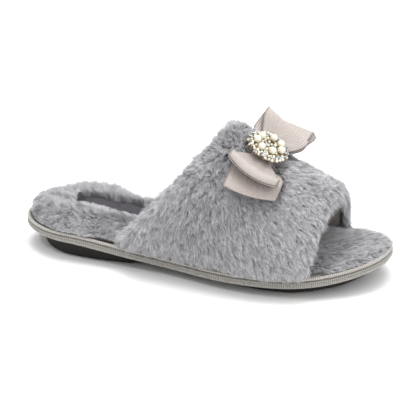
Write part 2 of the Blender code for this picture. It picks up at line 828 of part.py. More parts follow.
def band_faces(bm, rows):
    """Skins rows of vertices into a band that closes on itself."""
    for row, ahead in zip(rows, rows[1:] + rows[:1]):
        for k in range(len(row) - 1):
            bm.faces.new((row[k], ahead[k], ahead[k + 1], row[k + 1]))


def thicken(obj, thickness):
    thick = obj.modifiers.new("thick", "SOLIDIFY")
    thick.thickness = thickness
    thick.offset = 0.0


def layer_half():
    """Half the height of a ribbon layer inside the knot."""
    return LAYER_PINCH + PLEAT + RIBBON_THICK / 2


def layer_base(number):
    """Height of a ribbon layer's middle over the seat, inside the knot."""
    return RIBBON_THICK + CLEARANCE + layer_half() + number * (2 * layer_half() + CLEARANCE)


def knot_top():
    """Height of the middle of the knot's upper wall over the seat."""
    return layer_base(1) + layer_half() + CLEARANCE + RIBBON_THICK / 2 + KNOT_CROWN


def make_knot(colour):
    """The short band that is wrapped round the middle of both ribbon layers."""
    place, forward, inward, out = bow_seat()
    high, low = knot_top(), RIBBON_THICK / 2
    half = KNOT_GATHER / 2 + 4 * CLEARANCE + RIBBON_THICK
    middle, tall, corner = (high + low) / 2, (high - low) / 2, RIBBON_THICK * 1.5
    bm = bmesh.new()
    rows = []
    for x_way, z_way, first in ((1, 1, 0), (-1, 1, 90), (-1, -1, 180), (1, -1, 270)):
        for step in (0, 30, 60, 90):
            angle = math.radians(first + step)
            x = (half - corner) * x_way + corner * math.cos(angle)
            z = middle + (tall - corner) * z_way + corner * math.sin(angle)
            row = []
            for y in (-KNOT_WIDTH / 2, 0.0, KNOT_WIDTH / 2):
                row.append(bm.verts.new(place + forward * x + inward * y + out * z))
            rows.append(row)
    band_faces(bm, rows)
    obj = finish_object("bow_knot", mesh_from("bow_knot", bm), colour, 0.6)
    thicken(obj, RIBBON_THICK)
    return obj


def brooch_frame():
    """The matrix that stands the brooch on top of the knot."""
    place, forward, inward, out = bow_seat()
    origin = place + out * (knot_top() + RIBBON_THICK * 0.5 + CLEARANCE)
    origin -= forward * BROOCH_REARWARD + inward * BROOCH_OUTWARD
    turned = Matrix((forward, inward, out)).transposed().to_4x4()
    return Matrix.Translation(origin) @ turned


def brooch_seats():
    """Each pearl and stone: its name, its radius and its place on the brooch's plate."""
    seats = []
    for i, (ahead, aside) in enumerate(PEARLS, 1):
        seats.append((f"pearl_{i}", PEARL_RADIUS, ahead * BROOCH_RADIUS, aside * BROOCH_RADIUS))
    for i, (ahead, aside, radius) in enumerate(STONES, 1):
        seats.append((f"stone_{i}", radius, ahead * BROOCH_RADIUS, aside * BROOCH_RADIUS))
    return seats


def make_brooch_base(frame):
    """A thin metal plate with a cup under each pearl and stone."""
    bm = bmesh.new()
    lift_plate = Matrix.Translation((0.0, BROOCH_RADIUS * PLATE_SHIFT, BROOCH_THICK / 2))
    bmesh.ops.create_cone(
        bm, cap_ends=True, segments=24, radius1=BROOCH_RADIUS * BROOCH_BACK,
        radius2=BROOCH_RADIUS * BROOCH_PLATE, depth=BROOCH_THICK, matrix=frame @ lift_plate,
    )
    obj = finish_object("brooch_base", mesh_from("brooch_base", bm), (0.83, 0.62, 0.28), 0.25, 1.0)
    cups = bmesh.new()
    for _, radius, ahead, aside in brooch_seats():
        depth = CUP_HEIGHT + BROOCH_THICK / 2
        high = Matrix.Translation((ahead, aside, BROOCH_THICK / 2 + depth / 2))
        bmesh.ops.create_cone(
            cups, cap_ends=True, segments=6, radius1=radius * 0.5, radius2=radius * 0.72, depth=depth,
            matrix=frame @ high,
        )
    cutter = bpy.data.objects.new("cup_shapes", mesh_from("cup_shapes", cups, False))
    cutters.objects.link(cutter)
    cutter.hide_render = True
    cutter.display_type = "WIRE"
    joined = obj.modifiers.new("cups", "BOOLEAN")
    joined.operation = "UNION"
    joined.object = cutter
    return obj


def make_gem(name, radius, place):
    """A cut stone: a short pavilion under a bevelled crown."""
    bm = bmesh.new()
    down = Matrix.Translation((0.0, 0.0, radius * 0.3))
    bmesh.ops.create_cone(
        bm, cap_ends=True, segments=8, radius1=radius * 0.65, radius2=radius, depth=radius * 0.6,
        matrix=place @ down,
    )
    top = max(bm.faces, key=lambda f: (place.inverted() @ f.calc_center_median()).z)
    risen = bmesh.ops.extrude_discrete_faces(bm, faces=[top])
    crown = risen["faces"][0]
    axis = place.to_3x3() @ Vector((0.0, 0.0, 1.0))
    bmesh.ops.translate(bm, verts=crown.verts, vec=axis * radius * 0.45)
    centre = crown.calc_center_median()
    for vert in crown.verts:
        vert.co = centre.lerp(vert.co, 0.6)
    return finish_object(name, mesh_from(name, bm, False), (0.85, 0.87, 0.9), 0.05)


def make_pearl(name, radius, place):
    bm = bmesh.new()
    up = Matrix.Translation((0.0, 0.0, radius))
    bmesh.ops.create_icosphere(bm, subdivisions=2, radius=radius, matrix=place @ up)
    return finish_object(name, mesh_from(name, bm), (0.93, 0.90, 0.80), 0.18)


def make_brooch():
    frame = brooch_frame()
    make_brooch_base(frame)
    for name, radius, ahead, aside in brooch_seats():
        seat = BROOCH_THICK + CUP_HEIGHT + CLEARANCE
        place = frame @ Matrix.Translation((ahead, aside, seat))
        if name.startswith("pearl"):
            make_pearl(name, radius, place)
        else:
            make_gem(name, radius, place)


def make_bow():
    ribbon = (0.62, 0.54, 0.51)
    ribbon_layer("bow_lower_loops", 0, LOWER_LOOPS, LOWER_PUFF, ribbon)
    ribbon_layer("bow_upper_loops", 1, UPPER_LOOPS, UPPER_PUFF, ribbon)
    make_knot(ribbon)


for old in list(bpy.data.objects):
    bpy.data.objects.remove(old)
slide = bpy.data.collections.new("faux_fur_slide")
cutters = bpy.data.collections.new("cutters")
for collection in (slide, cutters):
    bpy.context.scene.collection.children.link(collection)

draw = random.Random(SEED)
sole = sole_ring()
make_outsole(sole)
make_midsole(sole)
make_piping(sole)
footbed = make_insole(sole, draw)
make_label(footbed)
make_upper(draw)
make_bow()
make_brooch()
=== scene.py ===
"""Looks of the faux fur slide: its pile, ribbons, brooch, binding and rubber, in a pale studio.

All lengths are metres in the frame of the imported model: +X to the toe, +Y to the inner side
of the foot, +Z up, with the origin on the floor under the heel.
"""

import logging
import math
from dataclasses import astuple, dataclass
from enum import Enum
from typing import Callable, Sequence

import bmesh
import bpy
import numpy as np
from mathutils import Matrix, Vector
from mathutils.kdtree import KDTree


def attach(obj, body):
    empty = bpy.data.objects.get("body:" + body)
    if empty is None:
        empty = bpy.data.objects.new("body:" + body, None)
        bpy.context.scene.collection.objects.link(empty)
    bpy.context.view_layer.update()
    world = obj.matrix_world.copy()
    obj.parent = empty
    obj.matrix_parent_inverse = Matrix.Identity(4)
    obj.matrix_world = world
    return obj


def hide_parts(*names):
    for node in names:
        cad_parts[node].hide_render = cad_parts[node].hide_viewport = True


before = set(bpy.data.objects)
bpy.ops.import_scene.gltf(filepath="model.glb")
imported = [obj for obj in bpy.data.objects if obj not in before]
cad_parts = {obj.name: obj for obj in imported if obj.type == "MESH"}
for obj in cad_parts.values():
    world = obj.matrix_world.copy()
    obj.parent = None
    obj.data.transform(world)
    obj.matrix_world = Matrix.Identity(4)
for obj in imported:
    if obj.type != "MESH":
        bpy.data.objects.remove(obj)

log = logging.getLogger("slide")
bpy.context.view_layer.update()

Rows = Sequence[tuple[float, float]]
Colour = tuple[float, float, float]


def soft_step(t: np.ndarray | float) -> np.ndarray:
    """A soft step from 0 to 1.

    Args:
        t: Where on the step, 0 at its foot and 1 at its top.

    Returns:
        The step's height.
    """
    t = np.clip(t, 0.0, 1.0)
    return t * t * (3.0 - 2.0 * t)


def mix(a: np.ndarray | float, b: np.ndarray | float, t: np.ndarray | float) -> np.ndarray:
    """The value a share t of the way from a to b."""
    return a + (b - a) * t


def unit(v: np.ndarray) -> np.ndarray:
    """The directions of an array of vectors."""
    return v / np.maximum(np.linalg.norm(v, axis=-1, keepdims=True), 1e-12)


def dot(a: np.ndarray, b: np.ndarray) -> np.ndarray:
    """The dot products of two arrays of vectors, kept as a column."""
    return (a * b).sum(axis=-1, keepdims=True)


def run_along(path: np.ndarray) -> np.ndarray:
    """The distance from a path's first point to each of its points."""
    return np.concatenate(([0.0], np.cumsum(np.linalg.norm(np.diff(path, axis=0), axis=1))))


def curve_through(rows: Rows, at: np.ndarray) -> np.ndarray:
    """A soft curve through rows of share and value.

    Args:
        rows: The shares of the length and the value at each.
        at: The shares to read the curve at.

    Returns:
        The values there.
    """
    xs, ys = np.array(rows, float).T
    slope = np.empty(len(xs))
    slope[1:-1] = (ys[2:] - ys[:-2]) / (xs[2:] - xs[:-2])
    slope[0] = (ys[1] - ys[0]) / (xs[1] - xs[0])
    slope[-1] = (ys[-1] - ys[-2]) / (xs[-1] - xs[-2])
    at = np.clip(at, xs[0], xs[-1])
    k = np.clip(np.searchsorted(xs, at) - 1, 0, len(xs) - 2)
    span = xs[k + 1] - xs[k]
    t = (at - xs[k]) / span
    return (
        ys[k] * (1 + 2 * t) * (1 - t) ** 2
        + ys[k + 1] * t * t * (3 - 2 * t)
        + slope[k] * span * t * (1 - t) ** 2
        - slope[k + 1] * span * t * t * (1 - t)
    )


@dataclass(frozen=True)
class Last:
    """The sizes of the slide and the surfaces that its pieces lie on."""

    sole_length: float = 0.260
    heel_width: float = 0.067
    waist_width: float = 0.064
    ball_width: float = 0.094
    toe_swing: float = 0.008
    heel_centre: float = 0.034
    heel_round: tuple[float, float] = (0.155, 1.9)
    toe_round: tuple[float, float] = (0.32, 2.2)
    seat_lift: float = 0.0125
    tread_lift: float = 0.0070
    toe_spring: float = 0.0078
    waist_rise: float = 0.0032
    toe_rubber: float = 0.0045
    platform: float = 0.0050
    piping: float = 0.0022
    clearance: float = 0.0003
    wall: float = 0.0025
    instep: float = 0.0740
    vamp: float = 0.0535
    toe: float = 0.0365
    ridge_shift: float = 0.0030
    throat_side: float = 0.080
    throat_top: float = 0.150
    throat_curve: float = 0.8
    front_outer: float = 0.206
    front_inner: float = 0.209
    front_rise: float = 0.006
    feather_step: float = 0.0036

    def share_of(self, x: np.ndarray) -> np.ndarray:
        """The share of the sole's length at a place along it."""
        return np.clip((x + self.heel_centre) / self.sole_length, 0.0, 1.0)

    def end_shape(self, share: np.ndarray) -> np.ndarray:
        """1 along the foot, and falling to 0 round the heel and the toe."""
        heel, heel_power = self.heel_round
        toe, toe_power = self.toe_round
        back = 1.0 - np.clip((heel - share) / heel, 0.0, 1.0) ** heel_power
        front = 1.0 - np.clip((share - 1.0 + toe) / toe, 0.0, 1.0) ** toe_power
        return np.where(share < 0.5, back ** (1 / heel_power), front ** (1 / toe_power))

    def outline(self, share: np.ndarray) -> tuple[np.ndarray, np.ndarray]:
        """The sole's edge.

        Args:
            share: Shares of the sole's length.

        Returns:
            The y of the outer and of the inner edge there.
        """
        heel, waist, ball = self.heel_width, self.waist_width, self.ball_width
        rows = (
            (0.00, heel, 0.500, 0.500), (0.18, heel, 0.512, 0.492), (0.33, waist, 0.545, 0.480),
            (0.46, waist, 0.585, 0.475), (0.62, ball, 0.488, 0.430), (0.73, ball, 0.510, 0.492),
            (0.85, ball, 0.512, 0.520), (1.00, ball, 0.505, 0.515),
        )
        share = np.asarray(share, float)
        swing = self.toe_swing * np.maximum((share - 0.5) / 0.5, 0.0) ** 2
        end = self.end_shape(share)
        outer = curve_through([(s, w * o) for s, w, o, _ in rows], share)
        inner = curve_through([(s, w * i) for s, w, _, i in rows], share)
        return swing - outer * end, swing + inner * end

    def lift(self, share: np.ndarray) -> np.ndarray:
        """Height of the platform's underside over the floor."""
        seat, tread, spring = self.seat_lift, self.tread_lift, self.toe_spring
        rows = (
            (0.00, seat * 1.06), (0.18, seat), (0.34, seat * 0.66), (0.48, tread * 0.90),
            (0.68, tread), (0.84, tread + spring * 0.18), (1.00, tread + spring),
        )
        return curve_through(rows, share)

    def top(self, share: np.ndarray) -> np.ndarray:
        """Height of the platform's upper side over the floor."""
        return self.lift(share) + self.platform

    def floor_line(self, share: np.ndarray) -> np.ndarray:
        """Height of the rubber's underside over the floor."""
        toe = float(self.lift(np.array(1.0))) - self.toe_rubber
        rise = self.waist_rise
        rows = (
            (0.00, rise * 0.5), (0.05, 0.0), (0.33, 0.0), (0.42, rise), (0.51, rise),
            (0.59, 0.0), (0.79, 0.0), (0.90, toe * 0.35), (1.00, toe),
        )
        xs, ys = np.array(rows).T
        return np.interp(share, xs, ys)

    def ring(self, steps: int) -> np.ndarray:
        """The sole's edge as one closed ring.

        Args:
            steps: Points along each side.

        Returns:
            An array of x and y: heel tip, outer side, toe tip, inner side.
        """
        fine = (1.0 - np.cos(np.linspace(0.0, math.pi, 3001))) / 2.0
        sides = []
        for y in self.outline(fine):
            path = np.column_stack((fine * self.sole_length - self.heel_centre, y))
            run = run_along(path)
            want = np.linspace(0.0, run[-1], steps + 1)
            sides.append(np.column_stack([np.interp(want, run, path[:, k]) for k in (0, 1)]))
        return np.vstack((sides[0], sides[1][-2:0:-1]))

    def feather(self, share: np.ndarray) -> tuple[np.ndarray, np.ndarray]:
        """The y of the upper's inner face at its outer and its inner foot."""
        inset = self.piping + 4 * self.clearance + self.wall
        step = 0.004
        here, ahead, behind = (self.outline(share + k * step) for k in (0, 1, -1))
        found = []
        for side, way in ((0, 1.0), (1, -1.0)):
            slope = (ahead[side] - behind[side]) / (2 * step * self.sole_length)
            found.append(here[side] + way * inset * np.hypot(1.0, slope))
        return found[0], found[1]

    def arch(self, turn: np.ndarray, x: np.ndarray) -> np.ndarray:
        """Points of the upper's inner face.

        Args:
            turn: From 0 at the outer foot of the arch to 1 at the inner.
            x: Distance from the back of the heel.

        Returns:
            The points.
        """
        turn, x = np.broadcast_arrays(np.asarray(turn, float), np.asarray(x, float))
        share = x / self.sole_length
        outer, inner = self.feather(share)
        rows = (
            (0.30, self.instep * 1.26), (0.50, self.instep * 1.13), (0.60, self.instep),
            (0.73, self.vamp), (0.86, self.toe), (0.95, self.toe * 0.80),
        )
        up = np.sin(math.pi * turn)
        y = (outer + inner) / 2 - (inner - outer) / 2 * np.cos(math.pi * turn)
        y = y + self.ridge_shift * up * up
        z = self.top(share) + 2 * self.clearance + curve_through(rows, share) * up
        return np.stack((x - self.heel_centre, y, z), axis=-1)

    def arch_axes(self, turn: np.ndarray, x: np.ndarray) -> tuple[np.ndarray, np.ndarray, np.ndarray]:
        """The directions along the foot, across it and out of the upper."""
        turn = np.asarray(turn, float)
        low, high = np.maximum(turn - 0.002, 0.0), np.minimum(turn + 0.002, 1.0)
        across = unit(self.arch(high, x) - self.arch(low, x))
        along = unit(self.arch(turn, x + 0.002) - self.arch(turn, x - 0.002))
        return along, across, unit(np.cross(along, across))

    def throat(self, turn: np.ndarray) -> np.ndarray:
        """Where the upper starts, from the back of the heel."""
        return mix(self.throat_side, self.throat_top, np.sin(math.pi * np.asarray(turn)) ** self.throat_curve)

    def front(self, turn: np.ndarray) -> np.ndarray:
        """Where the upper ends over the toes."""
        up = np.sin(math.pi * np.asarray(turn))
        return mix(self.front_outer, self.front_inner, turn) + self.front_rise * up**0.7


LAST = Last()


class Weave(Enum):
    """Which way the ribs of a woven band run."""

    ALONG = "along"
    ACROSS = "across"


class Tree:
    """Short calls for building one node tree."""

    def __init__(self, tree: bpy.types.NodeTree) -> None:
        """Keeps the tree that the nodes go into."""
        self.tree = tree

    def fill(self, node: bpy.types.Node, **inputs: object) -> bpy.types.Node:
        """Sets the inputs of a node.

        Args:
            node: The node.
            inputs: Values or sockets for its inputs, with _ for a space in a name.

        Returns:
            The same node.
        """
        for name, value in inputs.items():
            self.put(node.inputs[name.replace("_", " ")], value)
        return node

    def add(self, kind: str, **inputs: object) -> bpy.types.Node:
        """Adds a node of a kind, with its inputs set as in fill."""
        return self.fill(self.tree.nodes.new(kind), **inputs)

    def put(self, socket: bpy.types.NodeSocket, value: object) -> None:
        """Links a socket into another, or sets its value."""
        if isinstance(value, bpy.types.NodeSocket):
            self.tree.links.new(value, socket)
        else:
            socket.default_value = value

    def math(self, operation: str, a: object, b: object = 0.0) -> bpy.types.NodeSocket:
        """The result of a Math node on two values."""
        node = self.add("ShaderNodeMath")
        node.operation = operation
        self.put(node.inputs[0], a)
        self.put(node.inputs[1], b)
        return node.outputs[0]

    def ranged(self, value: object, share: float, base: float) -> bpy.types.NodeSocket:
        """A share of a value, raised by a base."""
        return self.math("ADD", self.math("MULTIPLY", value, share), base)

    def blend(self, factor: object, a: object, b: object) -> bpy.types.NodeSocket:
        """The mix of two colours."""
        node = self.add("ShaderNodeMix")
        node.data_type = "RGBA"
        for name, value in (("Factor", factor), ("A", a), ("B", b)):
            wanted = "VALUE" if name == "Factor" else "RGBA"
            socket = next(s for s in node.inputs if s.name == name and s.type == wanted)
            self.put(socket, value if not isinstance(value, tuple) else (*value[:3], 1.0))
        return next(s for s in node.outputs if s.type == "RGBA")

    def noise(self, vector: object, scale: float, detail: float = 3.0) -> bpy.types.NodeSocket:
        """The height of a noise texture, from 0 to 1."""
        return self.add("ShaderNodeTexNoise", Vector=vector, Scale=scale, Detail=detail).outputs["Fac"]

    def place(self) -> bpy.types.NodeSocket:
        """The point on the surface, in the model's own metres."""
        return self.add("ShaderNodeTexCoord").outputs["Object"]

    def attribute(self, name: str) -> bpy.types.Node:
        """A node that reads an attribute of the mesh."""
        node = self.add("ShaderNodeAttribute")
        node.attribute_name = name
        return node

    def split(self, vector: object) -> bpy.types.Node:
        """A node with the three numbers of a vector."""
        return self.add("ShaderNodeSeparateXYZ", Vector=vector)

    def group(self, tree: bpy.types.NodeTree, **inputs: object) -> bpy.types.Node:
        """Adds a shared group, with its inputs set as in fill."""
        node = self.add("ShaderNodeGroup")
        node.node_tree = tree
        return self.fill(node, **inputs)

    def bump(self, height: object, distance: float, strength: float = 1.0) -> bpy.types.NodeSocket:
        """A normal bent by a height."""
        return self.add("ShaderNodeBump", Height=height, Distance=distance, Strength=strength).outputs[0]


def open_group(name: str, inputs: Sequence[tuple[str, str]], outputs: Sequence[tuple[str, str]]) -> tuple:
    """Starts a shader node group.

    Args:
        name: The group's name.
        inputs: Name and socket type of each input.
        outputs: Name and socket type of each output.

    Returns:
        The group's tree, its helper, its input node and its output node.
    """
    tree = bpy.data.node_groups.new(name, "ShaderNodeTree")
    for label, kind in inputs:
        tree.interface.new_socket(label, in_out="INPUT", socket_type=kind)
    for label, kind in outputs:
        tree.interface.new_socket(label, in_out="OUTPUT", socket_type=kind)
    return tree, Tree(tree), tree.nodes.new("NodeGroupInput"), tree.nodes.new("NodeGroupOutput")


def pile_tone_group() -> bpy.types.NodeTree:
    """The colour of one strand: dark at its root, as painted shade deep in the pile, light at its tip, and each tuft
    a little different.
    """
    tree, t, into, out = open_group(
        "pile_tone",
        (("Root", "NodeSocketColor"), ("Tip", "NodeSocketColor"), ("Spread", "NodeSocketFloat")),
        (("Colour", "NodeSocketColor"),),
    )
    parts = t.split(t.attribute("strand").outputs["Color"])
    along = t.math("POWER", parts.outputs[0], 1.1)
    tuft = t.math("SUBTRACT", parts.outputs[1], 0.5)
    own = t.math("SUBTRACT", parts.outputs[2], 0.5)
    patch = t.math("MULTIPLY", t.math("SUBTRACT", t.noise(t.place(), 70.0, 2.0), 0.5), 0.3)
    drift = t.math("ADD", t.math("MULTIPLY", tuft, 0.75), t.math("MULTIPLY", own, 1.2))
    drift = t.math("MULTIPLY", t.math("ADD", drift, patch), into.outputs["Spread"])
    # Painted shade: the strand darkens towards its root, deep in the pile.
    tone = t.blend(along, into.outputs["Root"], into.outputs["Tip"])
    bright = t.add("ShaderNodeHueSaturation", Color=tone, Value=t.math("ADD", drift, 1.0))
    t.put(out.inputs["Colour"], bright.outputs[0])
    return tree


def ribs_group() -> bpy.types.NodeTree:
    """Fine woven ribs from one coordinate in metres: their height, and the painted shade between them."""
    tree, t, into, out = open_group(
        "woven_ribs",
        (("Across", "NodeSocketFloat"), ("Along", "NodeSocketFloat"), ("Pitch", "NodeSocketFloat")),
        (("Height", "NodeSocketFloat"), ("Gap", "NodeSocketFloat")),
    )
    turn = t.math("MULTIPLY", t.math("DIVIDE", into.outputs["Across"], into.outputs["Pitch"]), 2 * math.pi)
    rib = t.math("MULTIPLY_ADD", t.math("SINE", turn), 0.5)
    rib.node.inputs[2].default_value = 0.5
    fine = t.math("MULTIPLY", t.math("DIVIDE", into.outputs["Along"], into.outputs["Pitch"]), 4 * math.pi)
    thread = t.math("MULTIPLY", t.math("SINE", fine), 0.05)
    t.put(out.inputs["Height"], t.math("ADD", rib, thread))
    t.put(out.inputs["Gap"], t.math("POWER", t.math("SUBTRACT", 1.0, rib), 3.0))
    return tree


def start_material(name: str) -> tuple[bpy.types.Material, Tree, bpy.types.Node]:
    """A new material with its tree helper and its Principled shader."""
    material = bpy.data.materials.new(name)
    material.use_nodes = True
    shader = material.node_tree.nodes["Principled BSDF"]
    return material, Tree(material.node_tree), shader


@dataclass(frozen=True)
class PileFinish:
    """Plush pile: strands that go from a darker root, painted shade deep in the pile, to a lighter tip."""

    name: str
    root: Colour
    tip: Colour
    spread: float = 0.68
    roughness: float = 0.72
    sheen: float = 0.6

    def material(self, tone: bpy.types.NodeTree) -> bpy.types.Material:
        """Makes the material of the strands.

        Args:
            tone: The shared group that colours a strand.

        Returns:
            The material.
        """
        material, t, shader = start_material(self.name)
        own = t.group(tone, Root=(*self.root, 1.0), Tip=(*self.tip, 1.0), Spread=self.spread)
        t.fill(
            shader, Base_Color=own.outputs["Colour"], Roughness=self.roughness, Specular_IOR_Level=0.25,
            Sheen_Weight=self.sheen, Sheen_Roughness=0.5,
        )
        return material


@dataclass(frozen=True)
class UndercoatFinish:
    """The dense short pile between the roots of the strands."""

    name: str
    dark: Colour
    light: Colour

    def material(self) -> bpy.types.Material:
        """Makes the material of the pile's ground."""
        material, t, shader = start_material(self.name)
        fine = t.noise(t.place(), 1500.0, 4.0)
        clumps = t.noise(t.place(), 260.0, 3.0)
        tone = t.blend(t.math("MULTIPLY", fine, clumps), self.dark, self.light)
        height = t.bump(t.math("ADD", fine, clumps), 0.0012)
        t.fill(shader, Base_Color=tone, Normal=height, Roughness=0.95, Specular_IOR_Level=0.1)
        return material


@dataclass(frozen=True)
class WovenFinish:
    """A woven ribbed band, such as a ribbon or a binding.

    It reads the UV map named weave, in metres, and, where asked, a mesh attribute that is 1 on the band's edges and
    fold crests: there it paints a dark line, partly the hem and partly painted shade where the layers part.
    """

    name: str
    thread: Colour
    shadow: Colour
    pitch: float
    relief: float
    weave: Weave
    roughness: float = 0.42
    sheen: float = 0.3
    specular: float = 0.5
    gap_share: float = 0.45
    hem_and_fold_shade: float = 0.0
    hem_and_fold_shade_tone: float = 0.55

    def material(self, ribs: bpy.types.NodeTree) -> bpy.types.Material:
        """Makes the material of the band.

        Args:
            ribs: The shared group that raises the ribs.

        Returns:
            The material.
        """
        material, t, shader = start_material(self.name)
        uv = t.add("ShaderNodeUVMap")
        uv.uv_map = "weave"
        parts = t.split(uv.outputs[0])
        along, across = parts.outputs[0], parts.outputs[1]
        if self.weave is Weave.ACROSS:
            along, across = across, along
        own = t.group(ribs, Across=across, Along=along, Pitch=self.pitch)
        soft = t.noise(t.place(), 90.0, 3.0)
        # Painted shade: the thread darkens in the gaps between the ribs.
        worn_and_gap_shade = t.blend(t.math("MULTIPLY", own.outputs["Gap"], self.gap_share), self.thread, self.shadow)
        tone = t.blend(t.math("MULTIPLY", soft, 0.25), worn_and_gap_shade, self.shadow)
        # The dark line on the edges and fold crests: partly the hem, and painted shade where the ribbon's layers
        # part.
        if self.hem_and_fold_shade:
            dark = tuple(part * self.hem_and_fold_shade_tone for part in self.shadow)
            tone = t.blend(t.math("MULTIPLY", t.attribute("hem_and_fold_shade").outputs["Fac"], self.hem_and_fold_shade), tone, dark)
        t.fill(
            shader, Base_Color=tone, Roughness=t.ranged(soft, 0.2, self.roughness - 0.1),
            Normal=t.bump(own.outputs["Height"], self.relief), Sheen_Weight=self.sheen,
            Specular_IOR_Level=self.specular,
        )
        return material


@dataclass(frozen=True)
class ClothFinish:
    """A plain fine cloth: the lining, or the satin of the label. It reads Object coordinates."""

    name: str
    thread: Colour
    shadow: Colour
    scale: float
    relief: float
    roughness: float
    specular: float = 0.3
    sheen: float = 0.2

    def material(self) -> bpy.types.Material:
        """Makes the material of the cloth."""
        material, t, shader = start_material(self.name)
        place = t.place()
        parts = t.split(place)
        warp = t.math("SINE", t.math("MULTIPLY", parts.outputs[0], self.scale))
        weft = t.math("SINE", t.math("MULTIPLY", t.math("ADD", parts.outputs[1], parts.outputs[2]), self.scale))
        height = t.math("MULTIPLY", warp, weft)
        soft = t.noise(place, 120.0, 4.0)
        t.fill(
            shader, Base_Color=t.blend(soft, self.thread, self.shadow),
            Normal=t.bump(t.math("ADD", height, soft), self.relief), Roughness=t.ranged(soft, 0.15, self.roughness),
            Specular_IOR_Level=self.specular, Sheen_Weight=self.sheen,
        )
        return material


@dataclass(frozen=True)
class RubberFinish:
    """Matt black moulded rubber."""

    name: str = "black_rubber"
    dark: Colour = (0.008, 0.007, 0.007)
    worn_and_gap_shade: Colour = (0.020, 0.018, 0.017)

    def material(self) -> bpy.types.Material:
        """Makes the material of the rubber."""
        material, t, shader = start_material(self.name)
        grain = t.noise(t.place(), 2400.0, 2.0)
        patch = t.noise(t.place(), 60.0, 4.0)
        t.fill(
            shader, Base_Color=t.blend(patch, self.dark, self.worn_and_gap_shade), Roughness=t.ranged(patch, 0.25, 0.55),
            Normal=t.bump(grain, 0.0001), Specular_IOR_Level=0.25,
        )
        return material


@dataclass(frozen=True)
class PearlFinish:
    """Cream pearl with a clear coat over a soft body; its colour darkens towards the rim, where the surface turns
    from view, as painted shade.
    """

    name: str = "cream_pearl"
    body: Colour = (0.86, 0.84, 0.72)
    rim: Colour = (0.42, 0.38, 0.27)

    def material(self) -> bpy.types.Material:
        """Makes the material of the pearls."""
        material, t, shader = start_material(self.name)
        soft = t.noise(t.place(), 400.0, 2.0)
        # Painted shade: the colour darkens towards the rim, where the surface turns from view.
        rim = t.add("ShaderNodeLayerWeight").outputs["Facing"]
        turned = t.math("MULTIPLY", rim, t.ranged(soft, 0.3, 0.85))
        t.fill(
            shader, Base_Color=t.blend(turned, self.body, self.rim), Roughness=t.math("MULTIPLY", soft, 0.4),
            Subsurface_Weight=0.15, Subsurface_Scale=0.001, Coat_Weight=1.0, Coat_Roughness=0.12,
        )
        return material


@dataclass(frozen=True)
class CrystalFinish:
    """Foil-backed cut glass. Each facet's brightness, from dark to bright, is a painted reflection kept in a mesh
    attribute.
    """

    name: str = "cut_stone"
    dark: Colour = (0.16, 0.17, 0.19)
    light: Colour = (0.95, 0.96, 0.98)

    def material(self) -> bpy.types.Material:
        """Makes the material of the stones."""
        material, t, shader = start_material(self.name)
        # Painted reflections: each facet's brightness, from dark to bright.
        tone = t.blend(t.attribute("facet_glint").outputs["Fac"], self.dark, self.light)
        flaw = t.math("MULTIPLY", t.noise(t.place(), 900.0, 1.0), 0.12)
        t.fill(shader, Base_Color=tone, Roughness=flaw, Metallic=0.75, Coat_Weight=1.0, Coat_Roughness=0.02)
        return material


@dataclass(frozen=True)
class MetalFinish:
    """Plated metal of the brooch's setting."""

    name: str
    plate: Colour
    tarnish: Colour

    def material(self) -> bpy.types.Material:
        """Makes the material of the metal."""
        material, t, shader = start_material(self.name)
        patch = t.noise(t.place(), 700.0, 4.0)
        t.fill(
            shader, Base_Color=t.blend(t.math("POWER", patch, 2.0), self.plate, self.tarnish),
            Roughness=t.ranged(patch, 0.3, 0.12), Normal=t.bump(patch, 0.00005), Metallic=1.0,
        )
        return material


class Finishes:
    """Every material of the slide, made once."""

    def __init__(self) -> None:
        """Makes the shared groups and the materials."""
        tone, ribs = pile_tone_group(), ribs_group()
        self.pile = PileFinish("grey_pile", (0.12, 0.118, 0.126), (0.65, 0.645, 0.668)).material(tone)
        self.insole_pile = PileFinish("insole_pile", (0.36, 0.358, 0.37), (0.66, 0.655, 0.675), 0.26).material(tone)
        self.undercoat = UndercoatFinish("undercoat", (0.26, 0.258, 0.27), (0.54, 0.536, 0.55)).material()
        self.lining = ClothFinish(
            "lining_cloth", (0.40, 0.37, 0.34), (0.30, 0.27, 0.26), 5200.0, 0.0002, 0.75
        ).material()
        self.binding = WovenFinish(
            "grosgrain_binding", (0.42, 0.40, 0.36), (0.17, 0.155, 0.14), 0.0014, 0.0005, Weave.ACROSS, 0.42,
            gap_share=0.8,
        ).material(ribs)
        self.bead = WovenFinish(
            "satin_bead", (0.58, 0.55, 0.50), (0.20, 0.18, 0.16), 0.0014, 0.0005, Weave.ACROSS, 0.34,
            gap_share=0.8,
        ).material(ribs)
        self.ribbon = WovenFinish(
            "ribbed_ribbon", (0.47, 0.42, 0.388), (0.27, 0.22, 0.205), 0.0014, 0.00022, Weave.ALONG, 0.45,
            gap_share=0.5, hem_and_fold_shade=0.85,
        ).material(ribs)
        self.label = ClothFinish(
            "label_satin", (0.075, 0.07, 0.08), (0.045, 0.042, 0.05), 9000.0, 0.00005, 0.5, 0.15, sheen=0.0
        ).material()
        self.rubber = RubberFinish().material()
        self.pearl = PearlFinish().material()
        self.crystal = CrystalFinish().material()
        self.gold = MetalFinish("gold_setting", (0.70, 0.58, 0.38), (0.36, 0.27, 0.15)).material()


def add_object(name: str, data: bpy.types.ID) -> bpy.types.Object:
    """Puts a new object with this mesh, lamp or camera into the scene."""
    obj = bpy.data.objects.new(name, data)
    bpy.context.scene.collection.objects.link(obj)
    return obj


